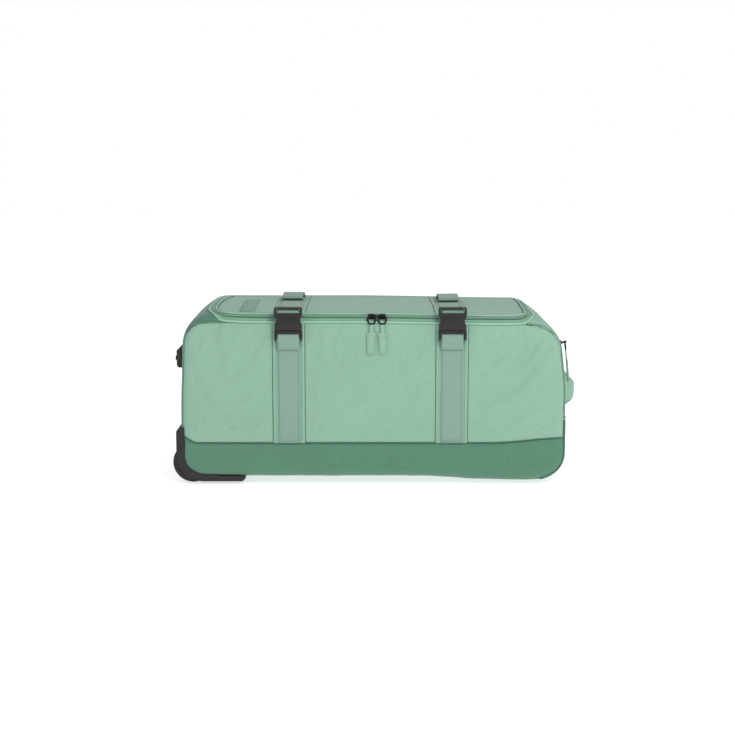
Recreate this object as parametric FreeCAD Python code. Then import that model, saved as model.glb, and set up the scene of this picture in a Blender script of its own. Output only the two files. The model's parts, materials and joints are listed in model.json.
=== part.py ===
"""Rolling duffel bag: a soft box on two wheels with a U-zip lid, two buckled straps and a telescopic handle.

Millimetres. +X runs along the bag from the wheels to the pull handle, -Y is the front, +Z is up, and the
origin is on the floor under the middle of the whole bag. Each function makes one kind of piece.
"""

import FreeCAD, Part

import math
import os

Vector = FreeCAD.Vector

# ---------------------------------------------------------------- the bag's outer form
body_left = -346.0
body_right = 326.0
front_y = -154.0
back_y = 166.0
mid_y = (front_y + back_y) / 2
base_z = 10.0
top_z = 302.0
mid_z = (base_z + top_z) / 2
crown = 2.0
panel_thickness = 4.0
corner_radius = 43.0
shoulder_radius = 80.0
end_lean = 13.0
lean_start_z = 188.0
upright_radius = 18.0
hem_radius = 15.0
back_top_radius = 26.0

# ---------------------------------------------------------------- seams between the sewn panels
front_slab_y = front_y + upright_radius
back_slab_y = back_y - upright_radius
base_seam_z = 76.0
end_seam_z = 119.0
zip_low_z = 286.0
zip_depth = 13.0
zip_rise = 14.0
zip_tape_width = 12.0
zip_gap = 0.6
zip_shares = (0.48, 0.52)
tape_thickness = 2.0
wheel_end_seam_x = -300.0
handle_end_seam_x = 278.0
lid_left = wheel_end_seam_x + 2 * zip_tape_width
lid_right = handle_end_seam_x - 2 * zip_tape_width
bottom_seam_x = body_right - corner_radius
far = 600.0

# ---------------------------------------------------------------- wheels and their housings
wheel_radius = 35.6
wheel_x = -327.5
wheel_offset_y = 128.0
tyre_width = 24.0
hub_radius = 24.0
hub_width = 26.0
hub_play = 1.0
tyre_round = 5.0
axle_radius = 4.0
axle_clearance = 0.05
axle_recess = 1.0
bearing_radius = 11.0
bearing_width = 7.0
well_clearance = 3.4
well_half_width = 15.0
housing_half_width = 29.0
housing_proud = 8.0
housing_top_z = 80.0
housing_inner_x = -283.0
guard_top_z = 101.0
guard_tip_x = -233.0
guard_low_z = 6.0
guard_bevel = 6.0
guard_wrap = 6.0
guard_lip = 10.0
guard_overlap = 5.0
guard_slant = 2.0
guard_screw_inset = 14.0
screw_radius = 2.0
screw_head_radius = 4.0
screw_head = 1.5

# ---------------------------------------------------------------- feet
glide_radius = 14.0
glide_inset = 90.0
glide_offset_y = 95.0
stand_depth = 19.0
stand_half_width = 55.0
stand_low_z = 192.0
stand_high_z = 226.0
stand_wall = 9.0
stand_recess_half_width = 41.0
stand_round = 6.0
stand_screw_offset = 48.0

# ---------------------------------------------------------------- telescopic handle
tube_offset_y = 85.0
tube_z = 34.0
outer_tube = (20.0, 13.0, 1.2)
mid_tube = (17.0, 10.0, 1.1)
inner_tube = (14.2, 7.2, 1.0)
cup_back_x = 262.0
cup_half_width = 112.0
cup_low_z = 17.0
cup_high_z = 51.0
cup_wall = 3.0
grip_back_x = 286.0
grip_front_x = 308.0
grip_half_width = 96.0
grip_height = 24.0
grip_round = 7.0
button_half_width = 17.0
button_height = 11.0
button_travel = 4.0
button_play = 0.4
button_proud = 2.0
button_round = 2.0
button_pocket = 8.0
tube_play = 0.4
tube_step = 4.0
tube_nest = 8.0
grip_socket = 12.0
board_thickness = 3.0
board_clearance = 4.0

# ---------------------------------------------------------------- straps and buckles
strap_x = {"left": -156.0, "right": 126.0}
band_half_width = 27.5
webbing_half_width = 19.0
cloth = 1.6
buckle_half_width = 24.0
buckle_low_z = 257.0
buckle_split_z = 279.0
buckle_top_z = 314.0
buckle_depth = 12.0
buckle_back_y = front_y - 3.4
buckle_front_y = buckle_back_y - buckle_depth
buckle_gap = 0.4
buckle_round = 3.0
buckle_cheek = 3.0
buckle_wall = 2.0
prong_depth = 5.0
prong_length = 22.0
prong_play = 3.0
prong_x = (12.5, 16.0, 19.5)
barb_rise = (9.0, 11.0)
guide_half_width = 3.5
window_radius = 6.5
window_offset = 2.5
window_rise = 14.0
webbing_play = 0.6
socket_bar = (1.6, 2.5)
plug_bar = (3.5, 9.5)
arch_start_y = 22.0
arch_end_y = 98.0
arch_height = 14.0
arch_inset = 6.0
webbing_start = 6.0
ramp_lap = 4.0
strap_end_gap = 8.0
loop_wrap = 0.8
loop_foot = (-12.5, -11.0)
loop_head = (1.5, 3.0)
loop_rise = 4.0
bar_lap = (1.9, 3.5)

# ---------------------------------------------------------------- zip sliders, pulls and the end handle
slider_width = 17.0
slider_shares = (0.16, 0.84)
slider_heights = (0.4, 5.5)
peg_half_width = 1.5
main_slider_x = {"left": -13.0, "right": 5.4}
ring_y = front_y - 4.5
ring_top_z = 302.0
ring_width = 12.0
ring_height = 19.0
ring_wire = 2.0
oval_flat = 0.1
peg_drop = (5.5, 3.5)
peg_overhang = 1.5
peg_reach = 8.0
tab_round = 2.5
tab_neck = (9.0, 13.0)
main_tab = (15.0, 39.0)
end_tab = (14.0, 46.0)
end_neck = (9.0, 10.0)
end_zip_z = 243.0
end_slider_y = -96.0
end_slider_half = (7.0, 5.0)
end_slider_x = (322.0, 326.2)
end_pull_x = 327.8
end_pull_rise = 5.0
end_peg_rise = (-0.5, 1.5)
end_pull_tilt = 6.0
end_tape_half_length = 110.0
end_tape_half_width = 12.0
end_tape_thickness = 1.2
grab_z = 151.0
grab_half_length = 75.0
grab_height = 30.0
grab_reach = 37.0
anchor_half_width = 9.0
anchor_half_height = 29.0
anchor_thickness = 4.0
grab_gap = 12.0
grab_thick = 8.0

os.makedirs("parts", exist_ok=True)


# ---------------------------------------------------------------- helpers
def block(x0, x1, y0, y1, z0, z1):
    """A box between two corners."""
    return Part.makeBox(x1 - x0, y1 - y0, z1 - z0, Vector(x0, y0, z0))


def rod(radius, start, direction, length):
    """A round bar from a start point along a direction."""
    return Part.makeCylinder(radius, length, Vector(*start), Vector(*direction))


def prism(points, push):
    """A flat outline pushed along a vector."""
    corners = [Vector(*p) for p in points]
    face = Part.Face(Part.makePolygon(corners + corners[:1]))
    return face.extrude(Vector(*push))


def fuse(pieces):
    """One solid from pieces that touch or overlap."""
    return pieces[0].multiFuse(pieces[1:]).removeSplitter()


def round_edges(shape, radius, axis):
    """Rounds every straight edge that runs along an axis."""
    along = Vector(*axis)
    edges = [e for e in shape.Edges if abs(e.tangentAt(e.FirstParameter).dot(along)) > 0.99]
    return shape.makeFillet(radius, edges)


def other_side(shape):
    """The same piece on the other side of the bag's lengthwise middle plane."""
    return shape.mirror(Vector(0, mid_y, 0), Vector(0, 1, 0))


def round_corners(shape, radius, corners):
    """Rounds the edges along Y that pass through some (x, z) corners."""
    def at_corner(edge):
        centre = edge.CenterOfMass
        return any(math.hypot(centre.x - x, centre.z - z) < 0.01 for x, z in corners)

    return shape.makeFillet(radius, [e for e in shape.Edges if at_corner(e)])


def save(name, shape):
    """Writes one node, as one solid or as a group of separate solids."""
    solids = shape.Solids
    made = solids[0] if len(solids) == 1 else Part.makeCompound(solids)
    made.exportStep("parts/" + name + ".step")
    print(f"{name}: {len(solids)} solid(s), {made.Volume / 1000:.1f} cm3, valid {made.isValid()}")


# ---------------------------------------------------------------- the bag's outer form
def leaning_side(grow):
    """All that lies below the bag's top and inside its leaning handle end, with the shoulder rounded."""
    z1 = top_z + crown + grow
    rise = top_z + crown - lean_start_z
    length = math.hypot(end_lean, rise)
    shoulder_x = body_right - end_lean + grow * (length - end_lean) / rise
    foot_x = shoulder_x + (z1 + far) * end_lean / rise
    outline = [(-far, -far), (foot_x, -far), (shoulder_x, z1), (-far, z1)]
    depth = back_y - front_y + 2 * far
    body = prism([(x, front_y - far, z) for x, z in outline], (0, depth, 0))
    return round_corners(body, shoulder_radius + grow, [(shoulder_x, z1)])


def front_view(grow):
    """What the bag shows from the front, run through its depth: round corners and a leaning handle end."""
    x0 = body_left - grow
    x1 = body_right + grow
    z0 = base_z - grow
    z1 = top_z + crown + grow
    box = block(x0, x1, front_y - far, back_y + far, z0, z1)
    box = round_corners(box, corner_radius + grow, [(x0, z0), (x1, z0), (x0, z1)])
    return box.common(leaning_side(grow))


def plan_view(grow):
    """The rectangle with round corners that the bag shows from above, run through its height."""
    box = block(body_left - grow, body_right + grow, front_y - grow, back_y + grow, base_z - far, top_z + far)
    return round_edges(box, upright_radius + grow, (0, 0, 1))


def end_view(grow):
    """The bag's outline from its end: round hems, the zip's slope at the front top and a crowned lid."""
    front = front_y - grow
    back = back_y + grow
    low = base_z - grow
    hem = hem_radius + grow
    turn = back_top_radius + grow
    slope = math.hypot(zip_depth, zip_rise)
    slope_foot = (front, zip_low_z + grow * (slope - zip_rise) / zip_depth)
    slope_head = (front_y + zip_depth - grow * (slope - zip_depth) / zip_rise, top_z - crown + grow)
    lid_end = (back - turn, top_z - crown + grow)
    diagonal = math.sqrt(0.5)

    def arc_about(y, z, radius, angles):
        return [(y + radius * math.cos(a), z + radius * math.sin(a)) for a in angles]

    def point(p):
        return Vector(body_left - far, p[0], p[1])

    def line(a, b):
        return Part.LineSegment(point(a), point(b)).toShape()

    def arc(a, b, c):
        return Part.Arc(point(a), point(b), point(c)).toShape()

    turn_centre = (back - turn, top_z - crown + grow - turn)
    turn_middle = (turn_centre[0] + turn * diagonal, turn_centre[1] + turn * diagonal)
    turn_end = (back, turn_centre[1])
    back_hem = arc_about(back - hem, low + hem, hem, (0, -math.pi / 4, -math.pi / 2))
    front_hem = arc_about(front + hem, low + hem, hem, (-math.pi / 2, -3 * math.pi / 4, -math.pi))
    edges = [
        line(front_hem[2], slope_foot),
        line(slope_foot, slope_head),
        arc(slope_head, (mid_y, top_z + crown + grow), lid_end),
        arc(lid_end, turn_middle, turn_end),
        line(turn_end, back_hem[0]),
        arc(*back_hem),
        line(back_hem[2], front_hem[0]),
        arc(*front_hem),
    ]
    face = Part.Face(Part.Wire(edges))
    return face.extrude(Vector(body_right - body_left + 2 * far, 0, 0))


def envelope(grow=0.0):
    """The bag's outer form, moved outwards everywhere by a distance."""
    return front_view(grow).common(plan_view(grow)).common(end_view(grow))


def zip_slope_point(share, outwards):
    """A point (y, z) on the sloping front zip: a share of the way up, and a distance out of the cloth."""
    slope = math.hypot(zip_depth, zip_rise)
    y = front_y + share * zip_depth - outwards * zip_rise / slope
    z = zip_low_z + share * zip_rise + outwards * zip_depth / slope
    return y, z


# ---------------------------------------------------------------- wheel housings
def housing_block():
    """The front housing's rounded block, which stands proud of the bag's lower corner."""
    y0 = mid_y - wheel_offset_y - housing_half_width
    y1 = mid_y - wheel_offset_y + housing_half_width
    x0 = body_left - housing_proud
    box = block(x0, housing_inner_x, y0, y1, guard_low_z, housing_top_z)
    return round_corners(box, corner_radius + base_z - guard_low_z, [(x0, guard_low_z)])


def housing_guards(bag):
    """Two flat legs that hug the bag's end and underside, with bevelled tips."""
    y0 = mid_y - wheel_offset_y - housing_half_width
    push = (0, 2 * housing_half_width, 0)
    x0 = body_left - housing_proud
    inside_x = body_left + guard_wrap
    inside_z = base_z + guard_lip
    foot_z = housing_top_z - guard_overlap
    heel_x = housing_inner_x - guard_overlap
    upright = [
        (x0, y0, foot_z),
        (inside_x, y0, foot_z),
        (inside_x, y0, guard_top_z),
        (body_left - guard_slant, y0, guard_top_z),
        (x0, y0, guard_top_z - guard_bevel),
    ]
    flat = [
        (heel_x, y0, guard_low_z),
        (guard_tip_x - guard_bevel, y0, guard_low_z),
        (guard_tip_x, y0, guard_low_z + guard_bevel),
        (guard_tip_x, y0, inside_z),
        (heel_x, y0, inside_z),
    ]
    return [prism(upright, push).cut(bag), prism(flat, push).cut(bag)]


def wheel_housing(bag):
    """The front moulded housing: block and legs in one, hollowed for the wheel and bored for its axle."""
    y_wheel = mid_y - wheel_offset_y
    shell = fuse([housing_block()] + housing_guards(bag))
    well_radius = wheel_radius + well_clearance
    well_start = (wheel_x, y_wheel - well_half_width, wheel_radius)
    well = rod(well_radius, well_start, (0, 1, 0), 2 * well_half_width)
    bore = rod(axle_radius, (wheel_x, y_wheel - far, wheel_radius), (0, 1, 0), 2 * far)
    for space in [well, bore] + guard_screws():
        shell = shell.cut(space)
    return shell


def screw(head_start, direction, shank_length):
    """A screw whose head stands proud along its own direction."""
    along = Vector(*direction)
    under_head = Vector(*head_start) + along * screw_head
    return fuse([
        rod(screw_head_radius, head_start, direction, screw_head),
        rod(screw_radius, under_head, direction, shank_length),
    ])


def guard_screws():
    """The front housing's two screws, one through each leg."""
    y_wheel = mid_y - wheel_offset_y
    x0 = body_left - housing_proud
    leg_x = guard_tip_x - guard_screw_inset
    leg_z = guard_top_z - guard_screw_inset
    return [
        screw((x0 - screw_head, y_wheel, leg_z), (1, 0, 0), housing_proud),
        screw((leg_x, y_wheel, guard_low_z - screw_head), (0, 0, 1), base_z - guard_low_z),
    ]


# ---------------------------------------------------------------- the sewn panels
def make_panels(bag, housings):
    """The cloth shell, cut along its seams into the panels it is sewn from, and cut out for the fittings."""
    shell = bag.cut(envelope(-panel_thickness))
    for housing in housings:
        shell = shell.cut(housing)
    cup = block(cup_back_x, far, mid_y - cup_half_width, mid_y + cup_half_width, cup_low_z, cup_high_z)
    shell = shell.cut(cup)
    zip_box = block(wheel_end_seam_x, handle_end_seam_x, -far, back_slab_y, zip_low_z, far)
    front = block(-far, far, -far, front_slab_y, -far, far)
    back = block(-far, far, back_slab_y, far, -far, far)
    middle = block(-far, far, front_slab_y, back_slab_y, -far, far)
    below_seam = block(-far, far, -far, far, -far, base_seam_z)
    below_zip = block(-far, far, -far, far, base_seam_z, zip_low_z)
    above_zip = block(-far, far, -far, far, zip_low_z, far)
    left = block(-far, wheel_end_seam_x, -far, far, -far, far)
    low_right = block(bottom_seam_x, far, -far, far, -far, end_seam_z)
    high_right = block(handle_end_seam_x, far, -far, far, end_seam_z, far)
    underneath = block(wheel_end_seam_x, bottom_seam_x, -far, far, -far, mid_z)

    front_strip = shell.common(front).common(above_zip).cut(zip_box)
    middle_strip = shell.common(middle)
    save("front_panel", shell.common(front).common(below_zip))
    save("front_base_band", shell.common(front).common(below_seam))
    save("back_panel", shell.common(back).cut(below_seam))
    save("back_base_band", shell.common(back).common(below_seam))
    save("bottom_panel", middle_strip.common(underneath))
    save("wheel_end_panel", fuse([middle_strip.common(left), front_strip.common(left)]))
    save("handle_end_base", middle_strip.common(low_right))
    save("handle_end_panel", fuse([middle_strip.common(high_right), front_strip.common(high_right)]))
    lid_box = block(lid_left, lid_right, front_y + zip_depth, back_slab_y - zip_gap, zip_low_z, far)
    save("lid_panel", shell.common(lid_box))


def slope_strip(x0, x1, low_share, high_share, low_out, high_out):
    """A flat strip on the sloping front zip, along X."""
    corners = [
        zip_slope_point(low_share, low_out),
        zip_slope_point(high_share, low_out),
        zip_slope_point(high_share, high_out),
        zip_slope_point(low_share, high_out),
    ]
    return prism([(x0, y, z) for y, z in corners], (x1 - x0, 0, 0))


def zip_tape(bag, shares, columns, column_corner):
    """One half of the lid's U-zip: a run along the front slope and two columns back along the top."""
    skin = bag.cut(envelope(-tape_thickness))
    ends = [x for column in columns for x in column]
    front = slope_strip(min(ends), max(ends), *shares, -tape_thickness, 0)
    front = front.common(block(-far, far, -far, front_y + zip_depth, zip_low_z, far))
    y0, z0 = column_corner
    sides = [skin.common(block(x0, x1, y0, back_slab_y - zip_gap, z0, far)) for x0, x1 in columns]
    return fuse([front] + sides)


def make_zip_tapes(bag):
    """The two halves of the U-zip meet along its teeth, with a fine gap between them."""
    half = zip_gap / 2
    left_teeth = wheel_end_seam_x + zip_tape_width
    right_teeth = handle_end_seam_x - zip_tape_width
    body_columns = [(wheel_end_seam_x, left_teeth - half), (right_teeth + half, handle_end_seam_x)]
    lid_columns = [(left_teeth + half, lid_left), (lid_right, right_teeth - half)]
    save("body_zip_tape", zip_tape(bag, (0, zip_shares[0]), body_columns, (-far, zip_low_z)))
    save("lid_zip_tape", zip_tape(bag, (zip_shares[1], 1), lid_columns, zip_slope_point(zip_shares[1], 0)))


# ---------------------------------------------------------------- wheels
def make_wheels(bag):
    """Housings, axles, bearings, hubs and tyres, front and back."""
    y_wheel = mid_y - wheel_offset_y
    centre = (wheel_x, y_wheel, wheel_radius)

    def ring(outer, inner, width, offset=0.0):
        start = (centre[0], centre[1] - width / 2 + offset, centre[2])
        return rod(outer, start, (0, 1, 0), width).cut(rod(inner, start, (0, 1, 0), width))

    tyre = round_edges_of_rim(ring(wheel_radius, hub_radius, tyre_width), tyre_round)
    hub = ring(hub_radius, axle_radius + hub_play, hub_width)
    seat = (hub_width - bearing_width) / 2
    bearings = []
    for offset in (-seat, seat):
        seat_start = (centre[0], centre[1] + offset - bearing_width / 2, centre[2])
        hub = hub.cut(rod(bearing_radius, seat_start, (0, 1, 0), bearing_width))
        bearings.append(ring(bearing_radius, axle_radius + axle_clearance, bearing_width, offset))
    axle_length = 2 * (housing_half_width - axle_recess)
    axle = rod(axle_radius, (centre[0], centre[1] - axle_length / 2, centre[2]), (0, 1, 0), axle_length)
    pieces = {
        "wheel_housing": wheel_housing(bag),
        "wheel_axle": axle,
        "tyre": tyre,
        "wheel_hub": hub,
        "wheel_bearings": Part.makeCompound(bearings),
    }
    for name, shape in pieces.items():
        save(name + "_front", shape)
        save(name + "_back", other_side(shape))


def round_edges_of_rim(shape, radius):
    """Rounds the two outer circular edges of a wheel."""
    round_ones = [e for e in shape.Edges if hasattr(e.Curve, "Radius")]
    rims = [e for e in round_ones if abs(e.Curve.Radius - wheel_radius) < 0.01]
    return shape.makeFillet(radius, rims)


def make_feet():
    """The glide feet under the handle end, the standing foot on the wheel end, and all the screws."""
    glides = [
        rod(glide_radius, (body_right - glide_inset, mid_y + side * glide_offset_y, 0), (0, 0, 1), base_z)
        for side in (-1, 1)
    ]
    save("glide_feet", Part.makeCompound(glides))
    x0 = body_left - stand_depth
    stand_y = (mid_y - stand_half_width, mid_y + stand_half_width)
    stand = block(x0, body_left, *stand_y, stand_low_z, stand_high_z)
    outer = [e for e in stand.Edges if abs(e.CenterOfMass.x - x0) < 0.01]
    stand = stand.makeFillet(stand_round, outer)
    recess_y = (mid_y - stand_recess_half_width, mid_y + stand_recess_half_width)
    stand = stand.cut(block(x0 + stand_wall, body_left, *recess_y, -far, far))
    screws = guard_screws() + [other_side(s) for s in guard_screws()]
    for side in (-1, 1):
        head_start = (x0 - screw_head, mid_y + side * stand_screw_offset, (stand_low_z + stand_high_z) / 2)
        stand_screw = screw(head_start, (1, 0, 0), stand_depth)
        stand = stand.cut(stand_screw)
        screws.append(stand_screw)
    save("end_foot", stand)
    save("screws", Part.makeCompound(screws))


# ---------------------------------------------------------------- telescopic handle
def tube(x0, x1, section, y):
    """A rectangular tube along X."""
    width, height, wall = section
    outside = block(x0, x1, y - width / 2, y + width / 2, tube_z - height / 2, tube_z + height / 2)
    w = width / 2 - wall
    h = height / 2 - wall
    return outside.cut(block(x0, x1, y - w, y + w, tube_z - h, tube_z + h))


def tube_space(x0, x1, section, y, play):
    """The solid bar of space that a tube fills, with play all round."""
    w = section[0] / 2 + play
    h = section[1] / 2 + play
    return block(x0, x1, y - w, y + w, tube_z - h, tube_z + h)


def around_middle(x0, x1, half_width, half_height):
    """A box centred on the handle's middle plane and height."""
    return block(x0, x1, mid_y - half_width, mid_y + half_width, tube_z - half_height, tube_z + half_height)


def make_trolley(bag):
    """Tubes, cup, board, grip and button of the pull-out handle."""
    sides = {"front": mid_y - tube_offset_y, "back": mid_y + tube_offset_y}
    cup_half_height = (cup_high_z - cup_low_z) / 2
    inner_half_width = cup_half_width - cup_wall
    inner_half_height = cup_half_height - cup_wall
    cup = bag.common(around_middle(cup_back_x, far, cup_half_width, cup_half_height))
    cup = cup.cut(around_middle(cup_back_x + cup_wall, far, inner_half_width, inner_half_height))
    grip = around_middle(grip_back_x, grip_front_x, grip_half_width, grip_height / 2)
    grip = round_edges(grip, grip_round, (0, 1, 0))
    socket_x = grip_back_x + grip_socket
    for name, y in sides.items():
        save("outer_tube_" + name, tube(housing_inner_x, cup_back_x, outer_tube, y))
        save("mid_tube_" + name, tube(housing_inner_x + tube_step, cup_back_x + tube_nest, mid_tube, y))
        save("inner_tube_" + name, tube(housing_inner_x + 2 * tube_step, socket_x, inner_tube, y))
        cup = cup.cut(tube_space(cup_back_x - 1, cup_back_x + cup_wall + 1, mid_tube, y, tube_play))
        grip = grip.cut(tube_space(grip_back_x - 1, socket_x, inner_tube, y, 0))
    pocket_x = grip_front_x - button_pocket
    half_height = button_height / 2
    pocket = around_middle(pocket_x, far, button_half_width + button_play, half_height + button_play)
    pressed_x = pocket_x + button_travel + button_play
    button = around_middle(pressed_x, grip_front_x + button_proud, button_half_width, half_height)
    save("handle_cup", cup)
    save("grip", grip.cut(pocket))
    save("grip_button", round_edges(button, button_round, (1, 0, 0)))
    board_y = (front_y + panel_thickness + board_clearance, back_y - panel_thickness - board_clearance)
    board_z = tube_z + outer_tube[1] / 2
    save("base_board", block(housing_inner_x, cup_back_x, *board_y, board_z, board_z + board_thickness))


# ---------------------------------------------------------------- straps and buckles
def female_buckle(x):
    """The upper half: a sleeve open at its foot, with side windows and a slot for the webbing."""
    y0 = buckle_front_y
    y1 = buckle_back_y
    low = buckle_split_z + buckle_gap
    body = block(x - buckle_half_width, x + buckle_half_width, y0, y1, low, buckle_top_z)
    body = round_edges(body, buckle_round, (0, 1, 0))
    cavity_half = buckle_half_width - buckle_cheek
    cavity_top = low + prong_length + prong_play
    cavity = block(x - cavity_half, x + cavity_half, y0 + buckle_wall, y1 - buckle_wall, low - 1, cavity_top)
    body = body.cut(cavity)
    for side in (-1, 1):
        window_x = x + side * (buckle_half_width + window_offset)
        window_start = (window_x, y0 - 1, low + window_rise)
        body = body.cut(rod(window_radius, window_start, (0, 1, 0), buckle_depth + 2))
    return body.cut(webbing_slot(x, cavity_top + socket_bar[0], buckle_top_z - socket_bar[1]))


def webbing_slot(x, low, high):
    """The space of a slot that the webbing passes through, right through a buckle half."""
    half = webbing_half_width + webbing_play
    return block(x - half, x + half, buckle_front_y - 1, buckle_back_y + 1, low, high)


def male_buckle(x):
    """The lower half: a frame with a bar for the webbing, a guide and two springy prongs."""
    y0 = buckle_front_y + 1
    y1 = buckle_back_y - 1
    frame = block(x - buckle_half_width, x + buckle_half_width, y0, y1, buckle_low_z, buckle_split_z)
    frame = round_edges(frame, buckle_round, (0, 1, 0))
    frame = frame.cut(webbing_slot(x, buckle_low_z + plug_bar[0], buckle_low_z + plug_bar[1]))
    prong_y = (y0 + y1 - prong_depth) / 2
    guide_top = buckle_split_z + prong_length - prong_play
    guide_x = (x - guide_half_width, x + guide_half_width)
    guide = block(*guide_x, prong_y, prong_y + prong_depth, buckle_split_z, guide_top)
    pieces = [frame, guide]
    inner, outer, barb = prong_x
    hook = [(outer, barb_rise[0]), (barb, barb_rise[1]), (outer, prong_length)]
    arm = [(inner, 0), (outer, 0)] + hook + [(inner, prong_length)]
    for side in (-1, 1):
        outline = [(x + side * across, prong_y, buckle_split_z + rise) for across, rise in arm]
        pieces.append(prism(outline, (0, prong_depth, 0)))
    return fuse(pieces)


def webbing_arch(x, foot_z):
    """The webbing's raised fold on the lid: a low arch of cloth."""
    middle = (arch_start_y + arch_end_y) / 2

    def arch(lift, end_inset):
        a = Vector(x - webbing_half_width, arch_start_y + end_inset, foot_z)
        b = Vector(x - webbing_half_width, middle, foot_z + lift)
        c = Vector(x - webbing_half_width, arch_end_y - end_inset, foot_z)
        wire = Part.Wire([Part.Arc(a, b, c).toShape(), Part.LineSegment(c, a).toShape()])
        return Part.Face(wire).extrude(Vector(2 * webbing_half_width, 0, 0))

    return arch(arch_height, 0).cut(arch(arch_height - 2 * cloth, arch_inset))


def lower_webbing(x):
    """The strap on the front, with its end looped through the plug's frame."""
    narrow = (x - webbing_half_width, x + webbing_half_width)
    loop_z = buckle_low_z + loop_rise
    loop_y0 = buckle_front_y - loop_wrap
    strap_y0 = front_y - 2 * cloth
    foot_z = [buckle_low_z + step for step in loop_foot]
    head_z = [loop_z + step for step in loop_head]
    return fuse([
        block(*narrow, strap_y0, front_y - cloth, base_seam_z, head_z[1] + loop_rise / 2),
        block(*narrow, loop_y0, strap_y0, *foot_z),
        block(*narrow, loop_y0, buckle_front_y + loop_wrap, foot_z[1], head_z[1]),
        block(*narrow, loop_y0, strap_y0, *head_z),
    ])


def upper_webbing(x, second_layer):
    """The strap on the lid: sewn down, raised in one fold, and led up to the socket's bar."""
    narrow = (x - webbing_half_width, x + webbing_half_width)
    start_y = front_y + zip_depth + webbing_start
    flat_run = second_layer.common(block(*narrow, start_y, back_slab_y - strap_end_gap, zip_low_z, far))
    foot_y = start_y + ramp_lap
    foot_z = top_z - crown + 2 * cloth
    head_y = buckle_front_y + 1
    ramp = prism([
        (narrow[0], foot_y, foot_z - cloth / 4),
        (narrow[0], foot_y, foot_z + cloth * 3 / 4),
        (narrow[0], head_y, buckle_top_z - bar_lap[1]),
        (narrow[0], head_y, buckle_top_z - bar_lap[1] - cloth),
    ], (2 * webbing_half_width, 0, 0))
    arch = webbing_arch(x, top_z + crown + cloth)
    below = envelope(cloth)
    return fuse([flat_run, ramp.cut(below), arch.cut(below)])


def make_straps(bag):
    """Backing bands, webbing and both halves of each side-release buckle."""
    first_layer = envelope(cloth).cut(bag)
    second_layer = envelope(2 * cloth).cut(envelope(cloth))
    for side, x in strap_x.items():
        wide = (x - band_half_width, x + band_half_width)
        save("front_band_" + side, block(*wide, front_y - cloth, front_y, base_seam_z, zip_low_z))
        on_lid = block(*wide, front_y + zip_depth, back_slab_y - strap_end_gap, zip_low_z, far)
        save("lid_band_" + side, first_layer.common(on_lid))
        save("lower_webbing_" + side, lower_webbing(x))
        save("upper_webbing_" + side, upper_webbing(x, second_layer))
        save("male_buckle_" + side, male_buckle(x))
        save("female_buckle_" + side, female_buckle(x))


# ---------------------------------------------------------------- zip sliders, pulls and the end handle
def pull_ring(top):
    """An oval ring hanging in the XZ plane under a height, with its back face at y = 0."""
    def oval(inset):
        half = ring_width / 2 - inset
        box = block(-half, half, -inset, ring_wire + inset, top - ring_height + inset, top - inset)
        return round_edges(box, half - oval_flat, (0, 1, 0))

    return oval(0).cut(oval(ring_wire))


def pull_tab(size, neck, top):
    """A cloth tab with a narrow neck, thin along Y; size and neck are (width, length)."""
    shoulder = top - neck[1]
    stem = block(-neck[0] / 2, neck[0] / 2, 0, ring_wire, shoulder, top)
    tab = block(-size[0] / 2, size[0] / 2, 0, ring_wire, shoulder - size[1], shoulder)
    return fuse([stem, round_edges(tab, tab_round, (0, 1, 0))])


def make_main_sliders():
    """Two nose-to-nose sliders on the lid's zip, each with a ring and a tab that hang before the front."""
    for side, x in main_slider_x.items():
        half = slider_width / 2
        body = slope_strip(x - half, x + half, *slider_shares, *slider_heights)
        peg_low, peg_high = (ring_top_z - drop for drop in peg_drop)
        peg_y = (ring_y - peg_overhang, ring_y + ring_wire + peg_reach)
        peg = block(x - peg_half_width, x + peg_half_width, *peg_y, peg_low, peg_high)
        save("main_slider_" + side, fuse([body, peg.cut(envelope(slider_heights[0]))]))
        ring = pull_ring(ring_top_z)
        tab = pull_tab(main_tab, tab_neck, ring_top_z - ring_height)
        for name, shape in (("pull_ring_", ring), ("pull_tab_", tab)):
            shape.translate(Vector(x, ring_y, 0))
            save(name + side, shape)


def make_pocket_zip(bag):
    """The handle end's pocket zip: a tape along the cloth, a slider, and a ring and tab that lean with it."""
    tape_y = (mid_y - end_tape_half_length, mid_y + end_tape_half_length)
    on_end = block(0, far, *tape_y, end_zip_z - end_tape_half_width, end_zip_z + end_tape_half_width)
    save("end_zip_tape", envelope(end_tape_thickness).cut(bag).common(on_end))
    half_long, half_tall = end_slider_half
    slider_y = (end_slider_y - half_long, end_slider_y + half_long)
    body = block(*end_slider_x, *slider_y, end_zip_z - half_tall, end_zip_z + half_tall)
    peg_y = (end_slider_y - peg_half_width, end_slider_y + peg_half_width)
    peg_x = (end_slider_x[1] - 1, end_pull_x + ring_wire + peg_overhang)
    peg = block(*peg_x, *peg_y, *(end_zip_z + rise for rise in end_peg_rise))
    save("end_slider", fuse([body, peg]))
    top = end_zip_z + end_pull_rise
    ring = pull_ring(top)
    tab = pull_tab(end_tab, end_neck, top - ring_height)
    for name, shape in (("end_pull_ring", ring), ("end_pull_tab", tab)):
        shape.rotate(Vector(0, 0, 0), Vector(0, 0, 1), 90)
        shape.translate(Vector(end_pull_x + ring_wire, end_slider_y, 0))
        shape.rotate(Vector(end_pull_x, end_slider_y, end_zip_z), Vector(0, 1, 0), -end_pull_tilt)
        save(name, shape)


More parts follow.
